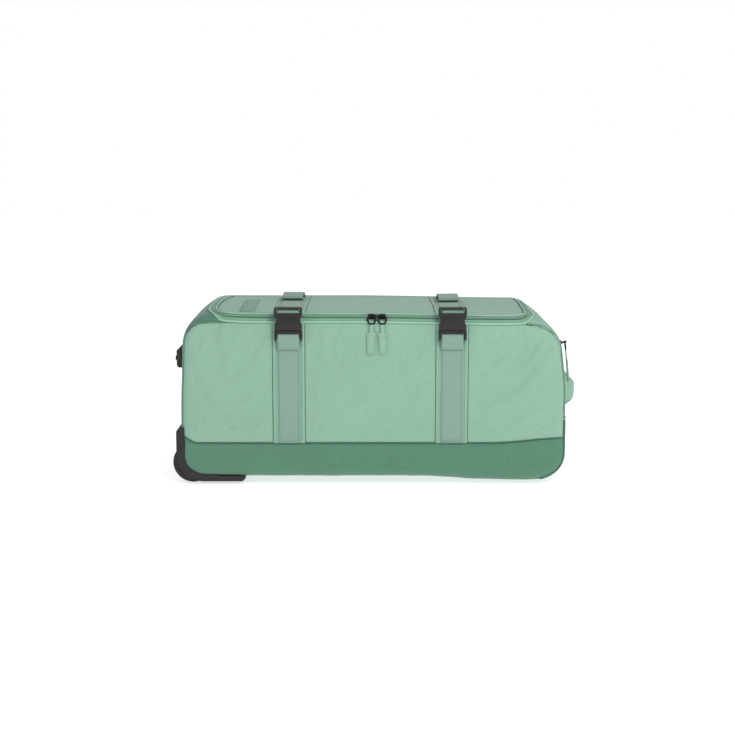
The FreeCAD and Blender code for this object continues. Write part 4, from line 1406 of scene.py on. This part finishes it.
def slider_parts(foot, along, up, pivot, tongue=0.0):
    """A zip slider: a nosed plate with flanges, a bridge for the ring, and a lock tongue of a length in mm."""
    plate = [
        (-6.0, -2.2), (-5.2, -3.4), (-1.6, -4.0), (4.0, -3.6), (6.0, -2.0), (6.4, 0), (6.0, 2.0), (4.0, 3.6),
        (-1.6, 4.0), (-5.2, 3.4), (-6.0, 2.2),
    ]
    parts = [
        turned_slab(foot, along, up, plate, 1.6, 3.8, 0.6),
        turned_slab(foot, along, up, [(-5.5, -5.2), (5.2, -5.0), (5.2, -4.0), (-5.5, -4.1)], 0.0, 3.0, 0.3),
        turned_slab(foot, along, up, [(-5.5, 4.1), (5.2, 4.0), (5.2, 5.0), (-5.5, 5.2)], 0.0, 3.0, 0.3),
    ]
    if tongue:
        parts.append(
            turned_slab(
                foot, along, up, [(4.6, -1.8), (tongue, -1.8), (tongue, 1.8), (4.6, 1.8)], 1.9, 4.2, 0.5,
            )
        )
    reach = (pivot - foot).dot(up) + 1.8 * MM
    tilt = (pivot - foot) - up * (pivot - foot).dot(up) - along * (pivot - foot).dot(along)
    bridge = []
    for a, h in ((-5.6, 3.0), (-5.2, 5.0), (-3.4, 0), (0, 0), (3.4, 0), (5.2, 5.0), (5.6, 3.0)):
        height = h * MM if h else reach
        bridge.append(foot + along * (a * MM) + up * height + tilt * (height / reach))
    parts.append(tube_rows(evenly(rounded(bridge, 3), 0.8 * MM), 1.25 * MM, sides=10))
    return joined(parts)


def tab_parts(top, across, down, out, drop, width, thickness):
    """A cloth pull: a narrow neck under the ring, and a wide tab that hangs below it, bowed a little."""
    half, neck = width / 2, width * 0.2
    length = drop / MM
    outline = [
        (neck, 0.0), (neck, length * 0.26), (half * 0.86, length * 0.285), (half, length * 0.31),
        (half, length - 2.0), (half - 1.2, length - 0.5), (half - 2.4, length),
    ]
    outline = [(a, -b) for a, b in outline] + [(-a, -b) for a, b in outline[::-1]]
    slab = poly_prism([(a * MM, b * MM) for a, b in outline], -thickness / 2, thickness / 2, 0.5 * MM)
    bent = []
    for v in slab[0]:
        bow = 0.5 * MM * math.sin(math.pi * min(1, -v.z / drop))
        bent.append(top + across * v.x - down * v.z + out * (v.y + bow))
    return bent, slab[1]


def tab_stitches(top, across, down, out, drop, width, thickness):
    inner = width / 2 - 2.0
    length = drop / MM
    corners = [
        (-inner, length * 0.40), (-inner, length - 2.2), (inner, length - 2.2), (inner, length * 0.40),
        (-inner, length * 0.40),
    ]
    line = [top + across * (a * MM) + down * (b * MM) + out * (thickness / 2 + 0.35 * MM) for a, b in corners]
    return stitches(line, lambda p: out, 2.2 * MM, 1.4 * MM, 0.25 * MM)


joints = {joint["name"]: joint for joint in frame["joints"]}
pulls_apart = joints["pull_right_swing"]["pos_m"][0] - joints["pull_left_swing"]["pos_m"][0]
# how far each lock tongue reaches, in mm, so that the two all but touch
MEET = pulls_apart / 2 / MM - 0.4
RING_HALF_WIDTH, RING_WIRE = 6.8 * MM, 1.5 * MM
SLOPE_UP = Vector((0, -math.sin(math.radians(45)), math.cos(math.radians(45))))
for place in ("left", "right"):
    pivot = Vector(joints[f"pull_{place}_swing"]["pos_m"])
    x = pivot.x
    nose = 1 if place == "left" else -1
    foot_point = settle(on_top(x, -150.2 * MM, 0.9 * MM))
    slider = add_piece(
        f"zip_slider_{place}", *slider_parts(foot_point, Vector((nose, 0, 0)), SLOPE_UP, pivot, MEET),
        "black_metal", f"slider_{place}", [f"main_slider_{place}"],
    )
    smooth_by_angle(slider, 40)
    low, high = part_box(f"pull_ring_{place}")
    centre = (low + high) / 2
    oval = ring_path(
        centre, Vector((1, 0, 0)), Vector((0, 0, 1)), RING_HALF_WIDTH, (high.z - low.z) / 2 - 0.9 * MM,
    )
    add_piece(
        f"zip_ring_{place}", *tube_rows(oval, RING_WIRE, 10, closed=True), "black_metal", f"pull_{place}",
        [f"pull_ring_{place}"],
    )
    low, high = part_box(f"pull_tab_{place}")
    hang = math.radians(-1.5 if place == "left" else 2.0)
    across, down = Vector((math.cos(hang), 0, math.sin(hang))), Vector((math.sin(hang), 0, -math.cos(hang)))
    top = Vector((centre.x, centre.y, high.z + 1.6 * MM))
    size = (top.z - low.z, 14.5, 2.2 * MM)
    tab = add_piece(
        f"zip_tab_{place}", *tab_parts(top, across, down, Vector((0, -1, 0)), *size), "light",
        f"pull_{place}", [f"pull_tab_{place}"],
    )
    smooth_by_angle(tab, 50)
    add_piece(
        f"zip_tab_stitches_{place}", *tab_stitches(top, across, down, Vector((0, -1, 0)), *size), "thread",
        f"pull_{place}",
    )

# the handle end's pocket zip: two welts, a coil between them, its slider, ring and tab
end_zip_low, end_zip_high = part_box("end_zip_tape")
ZIP_HEIGHT = (end_zip_low.z + end_zip_high.z) / 2
ZIP_ENDS = (end_zip_low.y, end_zip_high.y)


def end_surface(y, z, lift):
    """The settled handle end at a depth and a height."""
    return settle(side(end_station(z), y, lift))


def end_station(z):
    """The station of a height on the handle end, from its shoulder down."""
    part = [
        (h, s)
        for s, (x, h, nx, nz) in zip(ALONG, OUTLINE)
        if s >= S_TOP_RIGHT and s <= S_LOW_RIGHT + 0.05
    ]
    part.sort()
    return float(np.interp(z, [p[0] for p in part], [p[1] for p in part]))


zip_depths = spaced(*ZIP_ENDS, 4 * MM)
tape = [
    [end_surface(y, ZIP_HEIGHT + a * MM, 0.7 * MM) for a in (-11, -8, -4, 0, 4, 8, 11)]
    for y in zip_depths
]
tape_verts, tape_faces = rows_mesh(tape)
end_tape = add_piece("end_tape_cloth", tape_verts, tape_faces, "tape", "root", ["end_zip_tape"])
thicken(end_tape, 0.9 * MM, 0)
for name, drop in (("upper", 4.2), ("lower", -4.2)):
    add_cord(
        f"end_zip_welt_{name}", [end_surface(y, ZIP_HEIGHT + drop * MM, 0.9 * MM) for y in zip_depths],
        1.5 * MM, "piping", "root",
    )
for name, drop in (("upper", 11), ("lower", -11)):
    line = [end_surface(y, ZIP_HEIGHT + drop * 0.86 * MM, 1.3 * MM) for y in zip_depths]
    add_piece(
        f"end_zip_stitches_{name}", *stitches(line, lambda p: Vector((1, 0, 0)), 3.2 * MM, 2.0 * MM),
        "thread", "root",
    )
teeth = []
for k, p in enumerate(evenly([end_surface(y, ZIP_HEIGHT, 1.1 * MM) for y in zip_depths], 1.3 * MM)):
    reach = 1.5 * MM if k % 2 else -1.5 * MM
    teeth.append(
        tube_rows(
            [
                p + Vector((0, 0, reach)), p + Vector((0.9 * MM, 0, reach * 0.3)),
                p + Vector((0.3 * MM, 0, -reach * 0.5)),
            ],
            0.55 * MM, sides=5,
        )
    )
add_piece("end_zip_coil", *joined(teeth), "coil", "root")

pivot = Vector(joints["pocket_pull_swing"]["pos_m"])
foot_point = end_surface(pivot.y, ZIP_HEIGHT, 1.0 * MM)
pocket_slider = add_piece(
    "end_zip_slider", *slider_parts(foot_point, Vector((0, 1, 0)), Vector((1, 0, 0)), pivot),
    "black_metal", "pocket_slider", ["end_slider"],
)
smooth_by_angle(pocket_slider, 40)
low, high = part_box("end_pull_ring")
centre = (low + high) / 2
ring_half = (high.z - low.z) / 2
low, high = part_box("end_pull_tab")
tab_low = low.z
hanging = ((low + high) / 2 - centre).normalized()
outwards = Vector((0, 1, 0)).cross(-hanging)
oval = ring_path(centre, Vector((0, 1, 0)), -hanging, 5.0 * MM, ring_half - 1.1 * MM)
add_piece(
    "end_zip_ring", *tube_rows(oval, 1.1 * MM, 10, closed=True), "black_metal", "pocket_pull",
    ["end_pull_ring"],
)
top = centre + hanging * (ring_half - 1.6 * MM)
size = (top.z - tab_low, 13.5, 2.2 * MM)
tab = add_piece(
    "end_zip_tab", *tab_parts(top, Vector((0, 1, 0)), hanging, outwards, *size), "light", "pocket_pull",
    ["end_pull_tab"],
)
smooth_by_angle(tab, 50)
add_piece(
    "end_zip_tab_stitches", *tab_stitches(top, Vector((0, 1, 0)), hanging, outwards, *size), "thread",
    "pocket_pull",
)


# ---------------------------------------------------------------- grab handle on the handle end
grab_low, grab_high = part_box("grab_handle")
anchor_low, anchor_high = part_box("grab_anchors")
grab_z = (grab_low.z + grab_high.z) / 2
anchor_x = anchor_high.x
half_span = (anchor_high.y - anchor_low.y) / 2 - 3 * MM
grab_y = (anchor_low.y + anchor_high.y) / 2
bow = [
    (anchor_x - 2.6 * MM, -half_span), (anchor_x - 2.2 * MM, -half_span + 12 * MM),
    (anchor_x + 3 * MM, -half_span + 18 * MM),
    (grab_high.x - 17 * MM, -half_span + 30 * MM), (grab_high.x - 11 * MM, -half_span + 46 * MM),
    (grab_high.x - 9.5 * MM, 0),
]
bow = bow + [(x, -y) for x, y in bow[-2::-1]]
bow_path = evenly(rounded([Vector((x, grab_y + y, grab_z)) for x, y in bow], 3), 2.5 * MM)
GRAB_SIDES = 28
grab_rows = []
for i, p in enumerate(bow_path):
    a, b = bow_path[max(0, i - 1)], bow_path[min(len(bow_path) - 1, i + 1)]
    along = (b - a).normalized()
    out = along.cross(Vector((0, 0, 1))).normalized()
    share = abs(2 * i / (len(bow_path) - 1) - 1)
    padding = 1 - smooth(0.55, 0.86, share)
    half_tall = (13.0 + 16.0 * smooth(0.22, 0.92, share)) * MM
    half_thick = (1.3 + 4.2 * padding) * MM
    row = []
    for k in range(GRAB_SIDES):
        t = 2 * math.pi * k / GRAB_SIDES
        c, s = math.cos(t), math.sin(t)
        power = 0.55 + 0.25 * (1 - padding)
        high = half_tall * math.copysign(abs(s) ** 0.6, s)
        thick = half_thick * math.copysign(abs(c) ** power, c)
        wrinkle = 0.35 * MM * padding * noise.noise(Vector((p.y / 0.008, k / 5.0, 0)))
        row.append(p + Vector((0, 0, high)) + out * (thick + wrinkle))
    grab_rows.append(row)
grab = add_piece("grab_handle_cloth", *capped_rows(grab_rows), "light", None, ["grab_handle", "grab_anchors"])
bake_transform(grab)
for name, sign in (("upper", 1), ("lower", -1)):
    line = []
    for i, p in enumerate(bow_path[4:-4]):
        a, b = bow_path[i + 3], bow_path[i + 5]
        out = (b - a).normalized().cross(Vector((0, 0, 1))).normalized()
        share = abs(2 * (i + 4) / (len(bow_path) - 1) - 1)
        thick = (1.3 + 4.2 * (1 - smooth(0.55, 0.86, share))) * MM * 0.72
        line.append(p + out * thick + Vector((0, 0, sign * (9.8 + 15.0 * smooth(0.22, 0.92, share)) * MM)))
    seam = add_piece(f"grab_handle_seam_{name}", *tube_rows(line, 0.55 * MM, 6), "thread", None)
    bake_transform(seam)
for name, sign in (("front", -1), ("back", 1)):
    box_path = []
    for y, z in ((-9, -23), (9, -23), (9, 23), (-9, 23), (-9, -23), (9, 23), (9, -23), (-9, 23)):
        box_path.append(
            Vector(
                (anchor_x - 0.6 * MM, grab_y + sign * (half_span - 1 * MM) + y * 0.6 * MM, grab_z + z * MM)
            )
        )
    add_piece(
        f"grab_tack_{name}", *stitches(box_path, lambda p: Vector((1, 0, 0)), 2.4 * MM, 1.6 * MM, 0.3 * MM),
        "thread", "root",
    )


# ---------------------------------------------------------------- cup rim, wheels and hinge
s_high, s_low = CUP_STATIONS
rim_path = []
for y in spaced(cup_low.y + 5 * MM, cup_high.y - 5 * MM, 6 * MM):
    rim_path.append((s_high, y))
for s in spaced(s_high + 5 * MM, s_low - 5 * MM, 4 * MM):
    rim_path.append((s, cup_high.y))
for y in spaced(cup_low.y + 5 * MM, cup_high.y - 5 * MM, 6 * MM)[::-1]:
    rim_path.append((s_low, y))
for s in spaced(s_high + 5 * MM, s_low - 5 * MM, 4 * MM)[::-1]:
    rim_path.append((s, cup_low.y))
rim = [settle(side(s, y, 0.4 * MM)) for s, y in rim_path]
add_piece("cup_rim", *tube_rows(rim, 2.6 * MM, 12, closed=True), "black", "root")

for place in ("front", "back"):
    low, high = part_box(f"tyre_{place}")
    centre = (low + high) / 2
    radius, half = (high.x - low.x) / 2, (high.y - low.y) / 2
    profile = [
        (24.6 * MM, -half), (radius - 6 * MM, -half), (radius - 3.2 * MM, -half + 0.6 * MM),
        (radius - 1.2 * MM, -half + 2.2 * MM),
        (radius - 0.3 * MM, -half + 4.6 * MM), (radius, -2.6 * MM), (radius - 0.9 * MM, -2.0 * MM),
        (radius - 0.9 * MM, -1.2 * MM), (radius, -0.6 * MM),
    ]
    profile = profile + [(r, -y) for r, y in profile[::-1]]
    tyre = add_piece(
        f"wheel_tyre_{place}", *turned_rows(profile, centre, 96), "tyre", f"wheel_{place}", [f"tyre_{place}"],
    )
    smooth_by_angle(tyre, 40)
    low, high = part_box(f"wheel_hub_{place}")
    half = (high.y - low.y) / 2
    half_mm = half / MM
    rim_profile = [(r * MM, y * MM) for r, y in (
        (19.2, -half_mm + 3.0), (20.0, -half_mm + 0.6), (20.8, -half_mm), (23.4, -half_mm),
        (24.4, -half_mm + 0.8),
        (24.4, half_mm - 0.8), (23.4, half_mm), (20.8, half_mm), (20.0, half_mm - 0.6), (19.2, half_mm - 3.0),
    )]
    boss_profile = [(r * MM, y * MM) for r, y in (
        (5.0, -half_mm + 1.0), (8.6, -half_mm + 1.0), (9.6, -half_mm + 2.0), (9.6, half_mm - 2.0),
        (8.6, half_mm - 1.0), (5.0, half_mm - 1.0),
    )]
    web_profile = [(r * MM, y * MM) for r, y in ((9.0, -1.6), (19.8, -1.6), (19.8, 1.6), (9.0, 1.6))]
    parts = [
        turned_rows(rim_profile, centre, 72), turned_rows(boss_profile, centre, 48),
        turned_rows(web_profile, centre, 72),
    ]
    for k in range(6):
        angle = 2 * math.pi * k / 6 + 0.26
        c, s = math.cos(angle), math.sin(angle)
        spoke, spoke_faces = poly_prism(
            [(9.0 * MM, 2.0 * MM), (20.0 * MM, 1.5 * MM), (20.0 * MM, -1.5 * MM), (9.0 * MM, -2.0 * MM)],
            -(half - 2.4 * MM), half - 2.4 * MM, 0.6 * MM,
        )
        parts.append(
            (
                [
                    Vector((centre.x + v.x * c - v.z * s, centre.y + v.y, centre.z + v.x * s + v.z * c))
                    for v in spoke
                ],
                spoke_faces,
            )
        )
    hub = add_piece(f"wheel_rim_{place}", *joined(parts), "black", f"wheel_{place}", [f"wheel_hub_{place}"])
    smooth_by_angle(hub, 40)

# the hinge: a strip of cloth from the back panel's top edge to the lid's
hinge_x = spaced(-284 * MM, 270 * MM, 6 * MM)
hinge_rows = []
for q, lift in (
    (158, 0.1), (155, 1.0), (152, 1.6), (150, 1.9), (148, 2.0), (146, 1.9), (144, 1.6), (141, 1.0),
    (138, 0.1),
):
    hinge_rows.append([settle(on_top(x, q * MM, lift * MM)) for x in hinge_x])
hinge = add_piece("hinge_cloth", *rows_mesh(hinge_rows), "light", None)
hinge_z = settle(on_top(MID_X, LID_BACK)).z
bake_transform(hinge)
for name, q in (("back", 154.5), ("lid", 141.5)):
    line = [settle(on_top(x, q * MM, 1.5 * MM)) for x in hinge_x]
    add_piece(
        f"hinge_stitches_{name}", *stitches(line, top_up, 3.4 * MM, 2.2 * MM), "thread",
        "lid" if name == "lid" else "root",
    )

# the lid's seam stitching, and a plain tone-on-tone patch at its wheel end
line = [settle(on_top(p.x, p.y, 0.5 * MM)) for p in zip_path(-0.36)]
add_piece("lid_stitches", *stitches(line, top_up, 3.4 * MM, 2.2 * MM), "thread", "lid")
# the patch in mm; its lean is how far its back edge is moved along x
PATCH_LEFT, PATCH_WIDTH, PATCH_LEAN = -243.5, 26.5, -2.5
PATCH_FRONT, PATCH_LENGTH = -126, 186
PATCH_LIFT = 0.35 * MM
patch_rows = []
for i in range(30):
    y = (PATCH_FRONT + PATCH_LENGTH * i / 29) * MM
    lean = PATCH_LEAN * MM * i / 29
    row = [on_top((PATCH_LEFT + PATCH_WIDTH * j / 8) * MM + lean, y, PATCH_LIFT) for j in range(9)]
    patch_rows.append([settle(p) for p in row])
patch = add_piece("lid_patch", *rows_mesh(patch_rows), "patch", "lid")
thicken(patch, PATCH_LIFT, 1)


# ---------------------------------------------------------------- parts that keep their CAD shape
KEPT = {
    "black": ["wheel_housing_front", "wheel_housing_back", "handle_cup"],
    "foot": ["end_foot", "glide_feet"],
    "board": ["base_board"],
    "tube": [f"{stage}_tube_{place}" for stage in ("outer", "mid", "inner") for place in ("front", "back")],
    "steel": ["wheel_axle_front", "wheel_axle_back", "wheel_bearings_front", "wheel_bearings_back"],
    "black_metal": ["screws"],
    "gloss": ["grip"],
    "button": ["grip_button"],
}
for look, names in KEPT.items():
    for name in names:
        if nodes[name].hide_render:
            continue
        nodes[name].data.materials.clear()
        nodes[name].data.materials.append(MAT[look])


# ---------------------------------------------------------------- stage, light and camera
floor_mesh = bpy.data.meshes.new("floor")
floor_mesh.from_pydata([(-8, -6, 0), (8, -6, 0), (8, 10, 0), (-8, 10, 0)], [], [(0, 1, 2, 3)])
floor = bpy.data.objects.new("floor", floor_mesh)
bpy.context.collection.objects.link(floor)
FLOOR_GLOW = 0.67                        # keeps the floor as pale as the backdrop
paper = Shader("floor_paper", 0.95)
paper.coloured(paper.mixed(paper.grain((3, 3, 3), 3.0), (0.72, 0.72, 0.72, 1), (0.74, 0.74, 0.74, 1)))
paper.surface.inputs["Emission Color"].default_value = (1, 1, 1, 1)
paper.surface.inputs["Emission Strength"].default_value = FLOOR_GLOW
floor_mesh.materials.append(paper.material)

# the backdrop is seen white, and lights the bag less than that
BACKDROP_SEEN, BACKDROP_LIGHT = 1.0, 0.48
world = bpy.data.worlds.new("studio")
bpy.context.scene.world = world
world.use_nodes = True
backdrop = world.node_tree.nodes["Background"]
backdrop.inputs["Color"].default_value = (1, 1, 1, 1)
seen = world.node_tree.nodes.new("ShaderNodeLightPath")
strength = world.node_tree.nodes.new("ShaderNodeMapRange")
strength.inputs["To Min"].default_value = BACKDROP_LIGHT
strength.inputs["To Max"].default_value = BACKDROP_SEEN
world.node_tree.links.new(seen.outputs["Is Camera Ray"], strength.inputs["Value"])
world.node_tree.links.new(strength.outputs["Result"], backdrop.inputs["Strength"])


def soft_light(name, place, aim, size, power):
    data = bpy.data.lights.new(name, "AREA")
    data.shape = "RECTANGLE"
    data.size, data.size_y = size
    data.energy = power
    lamp = bpy.data.objects.new(name, data)
    bpy.context.collection.objects.link(lamp)
    lamp.location = place
    lamp.rotation_euler = (Vector(aim) - Vector(place)).to_track_quat("-Z", "Y").to_euler()


soft_light("key_light", (0.9, -1.9, 1.9), (0, 0, 0.15), (0.9, 0.9), 32)
soft_light("fill_light", (-1.8, -2.0, 1.2), (0, 0, 0.15), (1.6, 1.4), 4)
soft_light("back_light", (0.3, 2.2, 2.2), (0, 0, 0.15), (2.2, 1.2), 13)

CAMERA_LEFT, CAMERA_AWAY, CAMERA_HEIGHT = 10 * MM, 2.4, 0.58   # from the middle, the front and the floor
CAMERA_DOWN = 8.8                        # degrees below level
camera_data = bpy.data.cameras.new("camera")
camera = bpy.data.objects.new("camera", camera_data)
bpy.context.collection.objects.link(camera)
camera.location = (MID_X - CAMERA_LEFT, FRONT - CAMERA_AWAY, CAMERA_HEIGHT)
camera.rotation_euler = (math.radians(90 - CAMERA_DOWN), 0, 0)
camera_data.sensor_width = 36
camera_data.lens = 68.8
bpy.context.scene.camera = camera
bpy.context.scene.view_settings.view_transform = "Standard"
